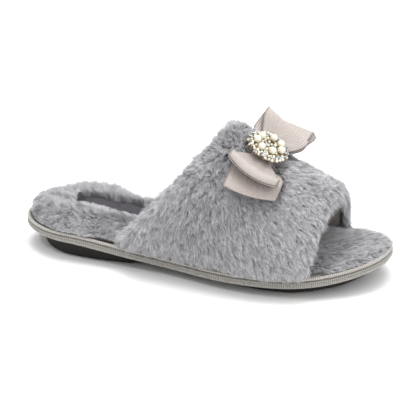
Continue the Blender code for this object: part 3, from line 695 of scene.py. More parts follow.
def object_from(name: str, bm: bmesh.types.BMesh, *materials: bpy.types.Material) -> bpy.types.Object:
    """Makes an object of a mesh under construction.

    Args:
        name: The piece's name.
        bm: The mesh, which is freed.
        materials: The finishes in its slots.

    Returns:
        The object, at the origin.
    """
    mesh = bpy.data.meshes.new(name)
    bm.to_mesh(mesh)
    bm.free()
    for material in materials:
        mesh.materials.append(material)
    mesh.shade_smooth()
    return add_object(name, mesh)


def thicken(obj: bpy.types.Object, thick: float) -> None:
    """Gives a sheet its thickness, half of it to each side."""
    wall = obj.modifiers.new("thickness", "SOLIDIFY")
    wall.thickness = thick
    wall.offset = 0.0


def settle(obj: bpy.types.Object, *nodes: str, slot: str) -> bpy.types.Object:
    """Hands a finished piece to the frame.

    Args:
        obj: The piece.
        nodes: The solids that it stands for.
        slot: The material slot of the record; not used.

    Returns:
        The same piece.
    """
    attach(obj, "root")
    if nodes:
        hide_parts(*nodes)
    log.info("%s: %d faces", obj.name, len(obj.data.polygons))
    return obj


def turn_out(bm: bmesh.types.BMesh) -> None:
    """Turns every face of a closed mesh outwards."""
    bmesh.ops.recalc_face_normals(bm, faces=bm.faces)
    if bm.calc_volume(signed=True) < 0:
        bmesh.ops.reverse_faces(bm, faces=bm.faces)


def mapped_grid(
    columns: int, rows: int, place: Callable[[np.ndarray, np.ndarray], np.ndarray], weave: bool = False
) -> bmesh.types.BMesh:
    """A grid whose points are moved onto a surface.

    Args:
        columns: Cells along u.
        rows: Cells along v.
        place: Gives the points, and the weave's metres where asked for, for arrays of u and v from 0 to 1.
        weave: Whether place also gives two columns for the UV map named weave.

    Returns:
        The mesh under construction.
    """
    bm = bmesh.new()
    bmesh.ops.create_grid(bm, x_segments=columns, y_segments=rows, size=0.5)
    uv = np.array([(v.co.x + 0.5, v.co.y + 0.5) for v in bm.verts])
    points = place(uv[:, 0], uv[:, 1])
    for vert, point in zip(bm.verts, points):
        vert.co = point[:3]
    if weave:
        layer = bm.loops.layers.uv.new("weave")
        for face in bm.faces:
            for loop in face.loops:
                loop[layer].uv = points[loop.vert.index][3:5]
    return bm


@dataclass
class Pelt:
    """Grows strands of pile, gathered into tufts, as one joined mesh for each piece."""

    seed: int
    width: float = 0.00034
    gather: float = 0.60
    curl: float = 0.0006
    levels: tuple[float, ...] = (0.0, 0.5, 1.0)

    def __post_init__(self) -> None:
        """Starts the seeded chance."""
        self.chance = np.random.default_rng(self.seed)

    def nearest(self, places: np.ndarray, seeds: np.ndarray) -> np.ndarray:
        """For each place on a flat map, the number of the nearest tuft."""
        tree = KDTree(len(seeds))
        for k, (a, b) in enumerate(seeds):
            tree.insert((a, b, 0.0), k)
        tree.balance()
        return np.array([tree.find((a, b, 0.0))[1] for a, b in places], int)

    def line(self, root: np.ndarray, out: np.ndarray, lean: np.ndarray, length: np.ndarray,
             rise: np.ndarray, s: float) -> np.ndarray:
        """The points at share s of strands that rise and then bend over.

        Args:
            root: Their roots.
            out: The direction out of the surface.
            lean: The direction that they lie in.
            length: Their lengths, as a column.
            rise: How upright they are, from 0 to 1, as a column.
            s: Share of the strand.

        Returns:
            The points.
        """
        lying = np.sqrt(np.maximum(1.0 - rise**2, 0.0))
        return root + length * (out * rise * (1.4 * s - 0.4 * s * s) + lean * lying * (0.5 * s + 0.5 * s * s))

    def grow(self, name: str, strands: dict, tufts: dict, which: np.ndarray,
             material: bpy.types.Material) -> bpy.types.Object:
        """Makes one piece of pile: a flat strand of three triangles at each root.

        Tens of thousands of strands go straight into the mesh, because no operator lays them out in time.

        Args:
            name: The piece's name.
            strands: Arrays root, out, lean, length and rise, a row for each strand.
            tufts: The same for the tufts.
            which: The tuft of each strand.
            material: The finish.

        Returns:
            The piece.
        """
        count = len(which)
        phase = self.chance.uniform(0, 2 * math.pi, (count, 1))
        sway = unit(np.cross(strands["lean"], strands["out"]))
        shade = self.chance.uniform(0, 1, len(tufts["root"]))[which]
        own = self.chance.uniform(0, 1, count)
        keys = ("root", "out", "lean", "length", "rise")
        points = []
        for s in self.levels:
            free = self.line(*(strands[key] for key in keys), s)
            held = self.line(*(tufts[key][which] for key in keys), s)
            free = free + sway * np.sin(phase + 4.5 * s) * self.curl * s
            points.append(mix(free, held, self.gather * s**1.4))
        way = unit(points[-1] - points[0])
        tilt = self.chance.uniform(-0.6, 0.6, (count, 1))
        side = unit(np.cross(way, strands["out"]) + 1e-9)
        side = unit(side * np.cos(tilt) + np.cross(way, side) * np.sin(tilt))
        half = self.width / 2 * self.chance.uniform(0.7, 1.2, (count, 1))
        verts = np.empty((count, 5, 3))
        for k, share in enumerate((1.0, 0.85)):
            verts[:, 2 * k] = points[k] + side * half * share
            verts[:, 2 * k + 1] = points[k] - side * half * share
        verts[:, 4] = points[2]
        faces = np.array((0, 1, 3, 2, 2, 3, 4))
        loops = (np.arange(count)[:, None] * 5 + faces[None, :]).ravel()
        starts = (np.arange(count)[:, None] * 7 + np.array((0, 4))[None, :]).ravel()
        mesh = bpy.data.meshes.new(name)
        mesh.vertices.add(count * 5)
        mesh.vertices.foreach_set("co", verts.astype(np.float32).ravel())
        mesh.loops.add(len(loops))
        mesh.loops.foreach_set("vertex_index", loops.astype(np.int32))
        mesh.polygons.add(len(starts))
        mesh.polygons.foreach_set("loop_start", starts.astype(np.int32))
        mesh.update(calc_edges=True)
        tone = np.ones((count, 5, 4), np.float32)
        tone[:, :, 0] = np.repeat(self.levels, (2, 2, 1))[None, :]
        tone[:, :, 1] = shade[:, None]
        tone[:, :, 2] = own[:, None]
        mesh.color_attributes.new("strand", "FLOAT_COLOR", "POINT").data.foreach_set("color", tone.ravel())
        mesh.materials.append(material)
        mesh.shade_smooth()
        return add_object(name, mesh)


def waves(a: np.ndarray, b: np.ndarray, size: float, chance: np.random.Generator) -> np.ndarray:
    """A slow seeded swirl over a flat map, from about -1 to 1.

    Args:
        a: First place on the map, in metres.
        b: Second place.
        size: The size of its waves.
        chance: The seeded chance.

    Returns:
        The swirl's value at each place.
    """
    total = np.zeros_like(a)
    for _ in range(7):
        angle, phase = chance.uniform(0, 2 * math.pi, 2)
        pace = 2 * math.pi / (size * chance.uniform(0.7, 1.6))
        total = total + np.sin((a * math.cos(angle) + b * math.sin(angle)) * pace + phase)
    return total / 2.6


@dataclass(frozen=True)
class Loop:
    """One loop of a ribbon band: its reach, puff and opening are shares of the bow's, its twists degrees."""

    reach: float
    twist: float
    end_twist: float
    bulge: float
    puff: float = 1.0
    opening: float = 1.0


@dataclass
class Bow:
    """The double ribbon bow: two layers of loops and the wrap that holds them."""

    station: float = 0.172
    seat_turn: float = 0.475
    width: float = 0.037
    thick: float = 0.0006
    reach: float = 0.0400
    puffs: tuple[float, float] = (0.0020, 0.0030)
    spread: float = 3.45
    fan: float = 0.0035
    flares: tuple[float, float] = (0.56, 0.7)
    droop: float = 0.0050
    far_rise: float = 0.0040
    opening: float = 0.0260
    knot: float = 0.0110
    gather: float = 0.0150
    pinch: float = 0.0005
    pleat: float = 0.0003
    crown: float = 0.0018
    pressed: float = 0.0005
    roll: tuple[float, float] = (0.0012, 0.0048)
    loops: tuple[tuple[Loop, Loop], ...] = (
        (Loop(0.965, 7.5, 21.5, 0.075), Loop(1.00, -2.2, 15.0, 0.0)),
        (Loop(0.80, -2.3, 0.2, 0.13, 1.35, 1.25), Loop(0.70, -4.5, -12.5, 0.0, 0.8)),
    )
    folded: float = 0.02

    def seat(self) -> tuple[np.ndarray, np.ndarray, np.ndarray, np.ndarray]:
        """The bow's place on the ridge, and its axes forward, inward and up."""
        along, _, out = LAST.arch_axes(self.seat_turn, self.station)
        place = LAST.arch(self.seat_turn, self.station)
        place = place + out * (LAST.wall + self.pressed + 3 * LAST.clearance)
        return place, along, np.cross(out, along), out

    def half(self, aside: np.ndarray) -> np.ndarray:
        """Half the bow's breadth at a place across the foot."""
        opening = self.opening * np.where(aside < 0, self.flares[0], self.flares[1])
        return mix(self.gather, self.width, soft_step((np.abs(aside) - self.knot * 0.6) / opening)) / 2

    def bend(self, aside: np.ndarray) -> np.ndarray:
        """Height of the bow's middle line over its seat."""
        reach = np.maximum(np.abs(aside) - self.knot * 0.6, 0.0) / (self.reach - self.knot * 0.6)
        return np.where(aside < 0, -self.droop * reach**1.5, self.far_rise * reach**2)

    def layer_half(self) -> float:
        """Half the height of a layer inside the wrap."""
        return self.pinch + self.pleat + self.thick / 2

    def layer_base(self, number: int) -> float:
        """Height of a layer's middle over the seat, inside the wrap."""
        half = self.layer_half()
        return self.thick + LAST.clearance + half + number * (2 * half + LAST.clearance)

    def top(self) -> float:
        """Height of the wrap's upper wall over the seat."""
        return self.layer_base(1) + self.layer_half() + LAST.clearance + self.thick / 2 + self.crown

    def under(self, point: np.ndarray, pile: float) -> np.ndarray:
        """1 where the bow presses the pile flat, 0 away from it.

        Args:
            point: Points of the upper's inner face.
            pile: Height of the pile with its wall.

        Returns:
            How far each point is covered.
        """
        place, forward, inward, out = self.seat()
        off = point - place
        ahead, aside = dot(off, forward)[..., 0], dot(off, inward)[..., 0]
        knot = 1.0 - soft_step((np.hypot(ahead, aside) - self.gather * 0.6) / (self.gather * 0.55))
        cover = self.half(aside + np.copysign(self.knot / 2, aside)) * 1.03
        beside = 1.0 - soft_step((np.abs(ahead) - cover) / (self.width * 0.14))
        near = 1.0 - soft_step((self.bend(aside) - dot(off, out)[..., 0]) / pile)
        within = 1.0 - soft_step((np.abs(aside) - self.reach * 0.9) / (self.reach * 0.3))
        return np.maximum(knot, beside * near * within)

    def band(self, number: int) -> bmesh.types.BMesh:
        """One closed band of ribbon, with a loop to each side.

        Args:
            number: 0 for the lower layer, 1 for the upper.

        Returns:
            The mesh under construction.
        """
        place, forward, inward, out = self.seat()
        puff = self.puffs[number]
        both = np.array([astuple(loop) for loop in self.loops[number]])
        held = self.knot * 0.55
        steps, across = 44, 24

        def surface(u: np.ndarray, v: np.ndarray) -> np.ndarray:
            """Points of the band at its run u and its breadth v."""
            # The band runs over the top from the outer loop's end to the inner's, and back underneath.
            turn = u * 4.0
            over = turn < 2.0
            away = np.where(over, turn - 1.0, 3.0 - turn)
            side = np.where(over, 1.0, -1.0)
            outer = away < 0
            share = np.abs(np.sin(away * math.pi / 2))
            reach, twist, end_twist, bulge, full, slow = both[np.where(outer, 0, 1)].T
            twist, end_twist, full = np.radians(twist), np.radians(end_twist), full * puff
            far = held + (reach * self.reach - held) * share
            far = np.where(share < self.folded, held * share / self.folded, far)
            opened = soft_step((far - held) / (self.opening * slow))
            swell = mix(self.pinch, full, opened) * np.sqrt(np.maximum(1.0 - share**5, 0.0))
            level = self.layer_base(number) + (self.spread * self.puffs[0] * number + full) * opened
            level = level + swell * side
            w = 2 * v - 1
            level = level + self.pleat * (1.0 - opened) * np.cos(3 * math.pi * w)
            # The near upper loop's top rolls up at its end and sinks before it.
            if number == 1:
                roll = self.roll[0] * np.exp(-(((share - 0.84) / 0.13) ** 2))
                roll = roll - self.roll[1] * np.exp(-(((share - 0.52) / 0.18) ** 2)) * (1.0 - 0.3 * w * w)
                level = level + np.where(outer & over, roll, 0.0)
            free = soft_step((far - held) / self.knot)
            way = np.where(outer, -1.0, 1.0)
            a, b = twist * free, end_twist * free
            fan = np.where(over | outer, 0.0, self.fan * 2.4 * share**4 * (1.0 - share**10))
            run = self.half(way * far) * w + fan * (number == 0)
            bowed = far + bulge * self.reach * (1.0 - w * w) * share**2
            x = -np.sin(a) * way * bowed + np.cos(b) * run
            y = np.cos(a) * way * bowed + np.sin(b) * run
            up = level + self.bend(y)
            point = place + forward * x[:, None] + inward * y[:, None] + out * up[:, None]
            metres = np.column_stack((way * far + 0.2 * (1 - over), w * self.width / 2))
            return np.column_stack((point, metres))

        bm = mapped_grid(steps * 4, across, surface, weave=True)
        # 1 on the band's edges and at its fold crests, where the material paints a dark line: partly the hem, and
        # painted shade where the layers part.
        hem_and_fold_shade = bm.verts.layers.float.new("hem_and_fold_shade")
        for vert in bm.verts:
            turn = (vert.index % (steps * 4 + 1)) / steps
            fold = abs(turn - round(turn)) * steps < 1.6 and round(turn) in (0, 2, 4)
            vert[hem_and_fold_shade] = float(fold or vert.is_boundary)
        bmesh.ops.remove_doubles(bm, verts=bm.verts, dist=1e-6)
        bmesh.ops.recalc_face_normals(bm, faces=bm.faces)
        return bm

    def wrap(self) -> bmesh.types.BMesh:
        """The short band round the middle of both layers."""
        place, forward, inward, out = self.seat()
        high, low = self.top(), self.thick / 2
        half = self.gather / 2 + 4 * LAST.clearance + self.thick
        middle, tall, corner = (high + low) / 2, (high - low) / 2, self.thick * 1.5

        def surface(u: np.ndarray, v: np.ndarray) -> np.ndarray:
            """Points of the wrap round its run u and along its length v."""
            quarter = np.floor(u * 4 * 0.999999).astype(int)
            angle = (u * 4 - quarter) * math.pi / 2 + quarter * math.pi / 2
            x_way = np.array((1, -1, -1, 1))[quarter]
            z_way = np.array((1, 1, -1, -1))[quarter]
            x = (half - corner) * x_way + corner * np.cos(angle)
            z = middle + (tall - corner) * z_way + corner * np.sin(angle)
            z = z + 0.00012 * np.cos(v * 6 * math.pi) * (z_way > 0)
            y = (v - 0.5) * self.knot
            point = place + forward * x[:, None] + inward * y[:, None] + out * z[:, None]
            return np.column_stack((point, u * 0.05, v * self.knot))

        bm = mapped_grid(48, 12, surface, weave=True)
        bmesh.ops.remove_doubles(bm, verts=bm.verts, dist=1e-6)
        bmesh.ops.recalc_face_normals(bm, faces=bm.faces)
        return bm

    def build(self, finishes: Finishes) -> None:
        """Makes the loops and the wrap."""
        rows = (
            ("lower_loops", self.band(0), "bow_lower_loops", (self.width, 0.152)),
            ("upper_loops", self.band(1), "bow_upper_loops", (self.width, 0.117)),
            ("bow_wrap", self.wrap(), "bow_knot", (self.knot, 0.046)),
        )
        for name, bm, node, flat in rows:
            obj = object_from(name, bm, finishes.ribbon)
            thicken(obj, self.thick * 0.7)
            settle(obj, node, slot="ribbon")


@dataclass
class Upper:
    """The vamp: a lined wall under deep pile."""

    bow: Bow
    finishes: Finishes
    pile_rear: float = 0.0090
    pile_front: float = 0.0070
    lock: float = 0.0042
    edge_roll: float = 0.0040
    ground_share: float = 0.50
    strand_rear: float = 0.0105
    strand_front: float = 0.0092
    tuft: float = 0.0012
    strands: tuple[int, int] = (152000, 34000)
    pelt_area: float = 0.0165
    leans: tuple[float, float] = (-0.30, 0.85)
    falls: float = 0.95
    swirls: tuple = ((0.030, 0.20), (0.006, 0.40))
    ripple: tuple[float, float] = (0.010, 0.30)
    hang: float = 1.3
    fringe: tuple[float, float] = (0.0035, 0.26)
    trimmed: float = 0.22
    seed: int = 21

    def depth(self, turn: np.ndarray, t: np.ndarray, x: np.ndarray) -> tuple[np.ndarray, np.ndarray]:
        """Depth of the pile's body over the wall, and how far the bow covers it."""
        depth = mix(self.pile_rear, self.pile_front, soft_step(t * 1.4))
        rise = np.sin(math.pi * turn) * LAST.instep
        depth = depth * soft_step((rise - LAST.feather_step) / (2.2 * LAST.feather_step))
        cover = self.bow.under(LAST.arch(turn, x), LAST.wall + self.pile_rear + self.lock)
        return mix(depth, np.minimum(self.bow.pressed, depth), cover), cover

    def ground(self, turn: np.ndarray, t: np.ndarray, roll: np.ndarray) -> dict:
        """The surface that the strands root in.

        Args:
            turn: From 0 at the outer foot of the arch to 1 at the inner.
            t: From 0 at the throat to 1 at the front edge.
            roll: Angle round the edge: below 0 at the throat, above 0 at the front, 0 on the face.

        Returns:
            Arrays root, out, along, across, cover and edge.
        """
        x = mix(LAST.throat(turn), LAST.front(turn), t)
        along, across, out = LAST.arch_axes(turn, x)
        depth, cover = self.depth(turn, t, x)
        thick = LAST.wall + self.ground_share * depth
        edge = along * np.sign(roll)[:, None]
        angle = np.abs(roll)[:, None]
        long_way = (self.edge_roll * np.minimum(depth / self.pile_front, 1.0))[:, None] * 0.7
        half = thick[:, None] / 2
        root = LAST.arch(turn, x) + out * half
        root = root + out * half * np.cos(angle) + edge * long_way * np.sin(angle)
        normal = unit(out * np.cos(angle) + edge * np.sin(angle))
        return {"root": root, "out": normal, "along": along, "across": across, "cover": cover, "edge": edge}

    def lay(self, turn: np.ndarray, t: np.ndarray, roll: np.ndarray, chance: np.random.Generator,
            wild: float, ragged: float) -> dict:
        """Which way and how far the pile lies.

        Args:
            turn: As in ground.
            t: As in ground.
            roll: As in ground.
            chance: The seeded chance.
            wild: How much their directions differ from their neighbours'.
            ragged: How much their lengths do.

        Returns:
            Arrays root, out, lean, length and rise.
        """
        ground = self.ground(turn, t, roll)
        # A rough flat map in metres, so that the swirls are as large everywhere.
        a, b = turn * 0.17, t * 0.09
        steady = np.random.default_rng(self.seed)
        swirl = sum(waves(a, b, size, steady) * share for size, share in self.swirls)
        up = np.sin(math.pi * turn)
        high = up * LAST.instep
        ahead = mix(*self.leans, soft_step((t + 0.05) / 0.62))
        flank = np.cos(math.pi * turn)
        down = ground["across"] * (-flank[:, None]) * self.falls
        lean = ground["along"] * ahead[:, None] + down + ground["across"] * swirl[:, None]
        size, share = self.ripple
        lean = lean + ground["along"] * (waves(b, a, size, steady) * share)[:, None]
        # Round an edge the pile lies outwards, and over the toes it hangs.
        rolled = np.sin(np.minimum(np.abs(roll), math.pi / 2))[:, None]
        droop = np.array((0.0, 0.0, -self.hang)) * (roll > 0)[:, None] * up[:, None]
        side = (roll < 0)[:, None] * (1.0 - soft_step((high - 0.012) / 0.03))[:, None]
        over = ground["edge"] * mix(0.75, 1.5, side) + down * 0.6 + ground["across"] * swirl[:, None] * 0.6 + droop
        lean = mix(lean, over, rolled)
        lean = lean + droop * 0.5 * (soft_step((t - 0.8) / 0.2) * (1.0 - rolled[:, 0]))[:, None]
        lean = lean + chance.normal(0, wild, lean.shape)
        lean = unit(lean - ground["out"] * dot(lean, ground["out"]))
        # It is short under the bow, at the feather edge and before the front edge, and long on the edges.
        length = mix(self.strand_rear, self.strand_front, soft_step(t * 1.4))
        held = soft_step((ground["cover"] - 0.40) / 0.55)
        length = length * mix(1.0, 0.12, held) * chance.uniform(1.0 - ragged, 1.0 + 0.6 * ragged, len(t))
        foot = soft_step(high / 0.016)
        length = length * mix(0.60, 1.0, foot)
        throat, front = soft_step(-roll / 1.2), soft_step(roll / 1.2)
        size, share = self.fringe
        length = length * (1.0 + (0.30 * up + share * waves(b, a, size, steady)) * front)
        length = length * (1.0 - self.trimmed * soft_step((t - 0.65) / 0.35) * (1.0 - front) * up)
        flare = 1.0 - soft_step((high - 0.014) / 0.042)
        length = length * mix(1.0, mix(0.56, 1.6, flare), throat)
        length = length * mix(1.0, 0.86, (1.0 - soft_step(t / 0.12)) * (1.0 - flare))
        rise = mix(0.72, 0.55, soft_step(t * 1.6)) + chance.normal(0, wild * 0.4, len(t))
        rise = rise * mix(0.45, 1.0, foot)
        return {
            "root": ground["root"], "out": ground["out"], "lean": lean,
            "length": length[:, None], "rise": np.clip(rise, 0.1, 0.9)[:, None],
        }

    def sample(self, count: int, edges: int, chance: np.random.Generator) -> tuple:
        """Even places over the face and round the two edges.

        Args:
            count: Strands on the face.
            edges: Strands round the throat and the front edge.
            chance: The seeded chance.

        Returns:
            Arrays turn, t and roll.
        """
        low = 0.010
        turns = np.linspace(low, 1 - low, 400)
        middle = mix(LAST.throat(turns), LAST.front(turns), 0.5)
        pace = np.linalg.norm(LAST.arch(turns + 0.001, middle) - LAST.arch(turns - 0.001, middle), axis=1)
        for_face = np.cumsum(pace * (LAST.front(turns) - LAST.throat(turns)))
        for_edge = np.cumsum(pace)
        turn = np.interp(chance.uniform(0, for_face[-1], count), for_face, turns)
        rim = np.interp(chance.uniform(0, for_edge[-1], edges), for_edge, turns)
        t = chance.uniform(0, 1, count)
        rear = chance.uniform(0, 1, edges) < 0.58
        roll = chance.uniform(0, 1, edges) * np.where(rear, -2.3, 2.1)
        return (
            np.concatenate((turn, rim)),
            np.concatenate((t, np.where(rear, 0.0, 1.0))),
            np.concatenate((np.zeros(count), roll)),
        )

    def flat_map(self, turn: np.ndarray, t: np.ndarray, roll: np.ndarray) -> np.ndarray:
        """The pelt laid flat, in metres, for gathering tufts."""
        x = mix(LAST.throat(turn), LAST.front(turn), t)
        return np.column_stack((turn * 0.175, x + roll * 0.0042))

    def shell(self) -> bpy.types.Object:
        """The wall and the dense ground of the pile, with a lined inner face."""
        low = math.asin(LAST.feather_step / LAST.instep) / math.pi
        face, rim, inner = 44, 8, 26
        total = face + 2 * rim + inner

        def surface(u: np.ndarray, v: np.ndarray) -> np.ndarray:
            """Points round one section u, from the arch's outer to its inner foot v."""
            # The section runs along the face, round the front edge, back along the wall and round the throat.
            turn = mix(low * 0.4, 1 - low * 0.4, v)
            k = np.round(u * total)
            t = np.clip(k / face, 0.0, 1.0)
            roll = np.clip((k - face) / rim, 0.0, 1.0) * math.pi
            inside = np.clip((k - face - rim) / inner, 0.0, 1.0)
            t = np.where(k > face + rim, 1.0 - inside, t)
            back = np.clip((k - face - rim - inner) / rim, 0.0, 1.0)
            rear = k > face + rim + inner
            t = np.where(rear, 0.0, t)
            roll = np.where(rear, -math.pi * (1.0 - back), roll)
            on_wall = (k >= face + rim) & (k <= face + rim + inner)
            ground = self.ground(turn, t, np.where(on_wall, 0.0, roll))
            x = mix(LAST.throat(turn), LAST.front(turn), t)
            return np.where(on_wall[:, None], LAST.arch(turn, x), ground["root"])

        bm = mapped_grid(total, 120, surface)
        bmesh.ops.remove_doubles(bm, verts=bm.verts, dist=2e-6)
        rims = [edge for edge in bm.edges if edge.is_boundary]
        bmesh.ops.holes_fill(bm, edges=rims, sides=0)
        turn_out(bm)
        for part in bm.faces:
            centre = part.calc_center_median()
            middle = Vector((centre.x, 0.0, float(LAST.top(LAST.share_of(np.array(centre.x))))))
            part.material_index = int((middle - centre).normalized().dot(part.normal) > 0.35)
        obj = object_from("upper_shell", bm, self.finishes.undercoat, self.finishes.lining)
        return settle(obj, "upper", slot="fur")

    def build(self) -> None:
        """Makes the shell and the pile."""
        self.shell()
        chance = np.random.default_rng(self.seed + 1)
        turn, t, roll = self.sample(*self.strands, chance)
        cells = int(self.pelt_area / self.tuft**2)
        seeds = self.sample(cells, cells // 3, chance)
        pelt = Pelt(self.seed + 2)
        which = pelt.nearest(self.flat_map(turn, t, roll), self.flat_map(*seeds))
        tufts = self.lay(*seeds, chance, 0.25, 0.22)
        first, second = np.quantile(turn, (1 / 3, 2 / 3))
        zones = (
            ("upper_pile_outer", 0.0, first), ("upper_pile_top", first, second), ("upper_pile_inner", second, 1.0),
        )
        for name, start, end in zones:
            mine = (turn >= start) & (turn < end)
            strands = self.lay(turn[mine], t[mine], roll[mine], chance, 0.26, 0.20)
            settle(pelt.grow(name, strands, tufts, which[mine], self.finishes.pile), slot="fur")


@dataclass
class Footbed:
    """The furry insole and the satin label along its heel."""

    finishes: Finishes
    heel_loft: float = 0.0145
    toe_loft: float = 0.0060
    side: float = 0.0030
    label_length: float = 0.066
    label_width: float = 0.015
    label_start: float = 0.034
    label_shift: float = 0.0045
    label_sink: float = 0.0050
    sunk: float = 0.0034
    strand_heel: float = 0.0078
    strand_toe: float = 0.0070
    tuft: float = 0.0014
    zones: tuple = (
        ("insole_pile_heel", 46000, -0.0312, 0.085),
        ("insole_pile_middle", 12000, 0.083, 0.151),
        ("insole_pile_toe", 22000, 0.150, 0.2232),
    )
    swirls: tuple = ((0.026, 0.15), (0.008, 0.30))
    ripple: tuple[float, float] = (0.009, 0.30)
    waist: tuple[float, float] = (0.075, 0.040)
    round_heel: float = 0.045
    rim: float = 0.011
    tuck: float = 0.0068
    seed: int = 51

    def inset(self, share: np.ndarray) -> np.ndarray:
        """How far the pad keeps in from the sole's edge."""
        near = LAST.piping + 2.5 * LAST.clearance
        under = near + LAST.wall + 6 * LAST.clearance
        x = share * LAST.sole_length
        reach = 0.0082
        rear = soft_step((x - (LAST.throat_side - 2.6 * reach)) / reach)
        front = soft_step(((LAST.front_inner + 2.4 * reach) - x) / reach)
        return mix(near, under, np.minimum(rear, front))

    def edges(self, x: np.ndarray) -> tuple[np.ndarray, np.ndarray]:
        """The pad's outer and inner edge at a place along the foot."""
        share = LAST.share_of(x)
        inset = self.inset(share)
        tip = inset / LAST.sole_length
        outer, inner = LAST.outline(np.clip((share - tip) / (1 - 2 * tip), 0.0, 1.0))
        middle, half = (outer + inner) / 2, (inner - outer) / 2
        half = np.maximum(half - inset, 0.0002)
        return middle - half, middle + half

    def height(self, x: np.ndarray, y: np.ndarray, sunk: float = 0.0) -> np.ndarray:
        """Height of the pad's top over the floor.

        Args:
            x: Place along the foot.
            y: Place across it.
            sunk: How far under the pile's surface.

        Returns:
            The heights.
        """
        share = LAST.share_of(x)
        outer, inner = self.edges(x)
        across = np.clip((y - (outer + inner) / 2) / np.maximum((inner - outer) / 2, 1e-4), -1.0, 1.0)
        heel, toe = self.heel_loft, self.toe_loft
        rows = (
            (0.00, heel * 0.85), (0.16, heel), (0.34, heel * 1.14), (0.48, heel * 0.90),
            (0.66, toe * 1.15), (0.80, toe), (1.00, toe * 0.80),
        )
        loft = curve_through(rows, share)
        run = x + LAST.heel_centre
        middle = self.label_start + self.label_length / 2
        along = 1.0 - soft_step((np.abs(run - middle) - self.label_length / 2) / (self.label_length * 0.25))
        beside = 1.0 - soft_step((np.abs(y - self.label_shift) - self.label_width * 0.55) / self.label_width)
        rise = loft * (1.0 - 0.18 * np.abs(across) ** 3) - self.label_sink * along * beside
        rise = rise - sunk * (1.0 - along * beside) * np.clip(rise / 0.012, 0.25, 1.0)
        ends = np.minimum(run, LAST.sole_length - run)
        rim = np.minimum((1.0 - np.abs(across)) * (inner - outer) / 2, ends)
        back = 1.0 - soft_step(run / self.round_heel)
        return LAST.top(share) + mix(self.side * 0.6, rise, soft_step(rim / mix(0.009, 0.0155, back) + 0.1))

    def pad(self) -> bpy.types.Object:
        """The pad under the pile."""

        def surface(u: np.ndarray, v: np.ndarray) -> np.ndarray:
            """Points of the pad's top along the foot u and across it v."""
            inset = float(self.inset(np.array(0.0)))
            share = (1.0 - np.cos(math.pi * u)) / 2.0
            x = mix(inset, LAST.sole_length - inset, share) - LAST.heel_centre
            outer, inner = self.edges(x)
            y = mix(outer, inner, v)
            return np.column_stack((x, y, self.height(x, y, self.sunk)))

        bm = mapped_grid(150, 48, surface)
        rims = [edge for edge in bm.edges if edge.is_boundary]
        made = bmesh.ops.extrude_edge_only(bm, edges=rims)["geom"]
        low = [item for item in made if isinstance(item, bmesh.types.BMVert)]
        for vert in low:
            vert.co.z = float(LAST.top(LAST.share_of(np.array(vert.co.x)))) + LAST.clearance
        bmesh.ops.remove_doubles(bm, verts=bm.verts, dist=2e-6)
        bmesh.ops.holes_fill(bm, edges=[edge for edge in bm.edges if edge.is_boundary], sides=0)
        turn_out(bm)
        obj = settle(object_from("insole_pad", bm, self.finishes.undercoat), "insole", slot="fur")
        return obj

    def lay(self, x: np.ndarray, y: np.ndarray, chance: np.random.Generator, wild: float, ragged: float) -> dict:
        """Which way and how far the insole's pile lies.

        Args:
            x: Places along the foot.
            y: Places across it.
            chance: The seeded chance.
            wild: How much their directions differ from their neighbours'.
            ragged: How much their lengths do.

        Returns:
            Arrays root, out, lean, length and rise.
        """
        z = self.height(x, y, self.sunk)
        step = 0.0012
        slope_x = (self.height(x + step, y, self.sunk) - self.height(x - step, y, self.sunk)) / (2 * step)
        slope_y = (self.height(x, y + step, self.sunk) - self.height(x, y - step, self.sunk)) / (2 * step)
        slope_x, slope_y = np.clip(slope_x, -1.6, 1.6), np.clip(slope_y, -1.6, 1.6)
        out = unit(np.column_stack((-slope_x, -slope_y, np.ones_like(x))))
        run = x + LAST.heel_centre
        heel = 1.0 - soft_step((x - self.waist[0]) / self.waist[1])
        steady = np.random.default_rng(self.seed)
        swirl = sum(waves(x, y, size, steady) * share for size, share in self.swirls)
        bend = waves(y, x, self.ripple[0], steady) * self.ripple[1]
        outer, inner = self.edges(x)
        side = (y - (outer + inner) / 2) / np.maximum((inner - outer) / 2, 0.004)
        back = 1.0 - soft_step(run / self.round_heel)
        # On the heel the pile falls away from the label, most at the rim; towards the toe it lies forward.
        spill = np.abs(side) ** 3 * (1.0 - back)
        sideways = side * (0.6 + 0.6 * spill) * (1.0 - 0.7 * back) + swirl
        away = np.column_stack((-0.45 + 0.35 * back + bend, sideways, np.zeros_like(x)))
        forward = np.column_stack((0.9 + bend, side * 0.3 + swirl, np.zeros_like(x)))
        lean = mix(forward, away, heel[:, None]) + chance.normal(0, wild, out.shape)
        lean = unit(lean - out * dot(lean, out))
        # It is longer on the far side, and shorter at the rim and beside the label.
        length = mix(self.strand_toe, self.strand_heel, heel)
        length = length * chance.uniform(1.0 - ragged, 1.0 + 0.6 * ragged, len(x))
        length = length * (1.0 + 0.50 * heel * (1.0 - 0.6 * back) * soft_step((side + 0.1) / 0.7))
        length = length * (1.0 + 0.35 * (1.0 - heel) * soft_step(side / 0.7))
        rim = np.minimum((1.0 - np.abs(side)) * (inner - outer) / 2, run)
        length = length * mix(mix(0.62, 0.28, back), 1.0, soft_step(rim / self.rim)) * (1.0 - 0.12 * back)
        beside = np.abs(y - self.label_shift) - self.label_width / 2
        rear = 1.0 - soft_step((run - self.label_start) / 0.035)
        near = mix(mix(0.42, 0.95, rear), 0.8, soft_step((y - self.label_shift) / 0.004 + 0.5))
        length = length * mix(1.0, mix(near, 1.0, soft_step(beside / 0.016)), heel)
        upright = 0.84 - 0.1 * spill * (side < 0) + 0.06 * np.maximum(back, side > 0.3)
        rise = mix(0.40, upright, heel) + chance.normal(0, wild * 0.35, len(x))
        return {
            "root": np.column_stack((x, y, z)), "out": out, "lean": lean,
            "length": length[:, None], "rise": np.clip(rise, 0.15, 0.92)[:, None],
        }

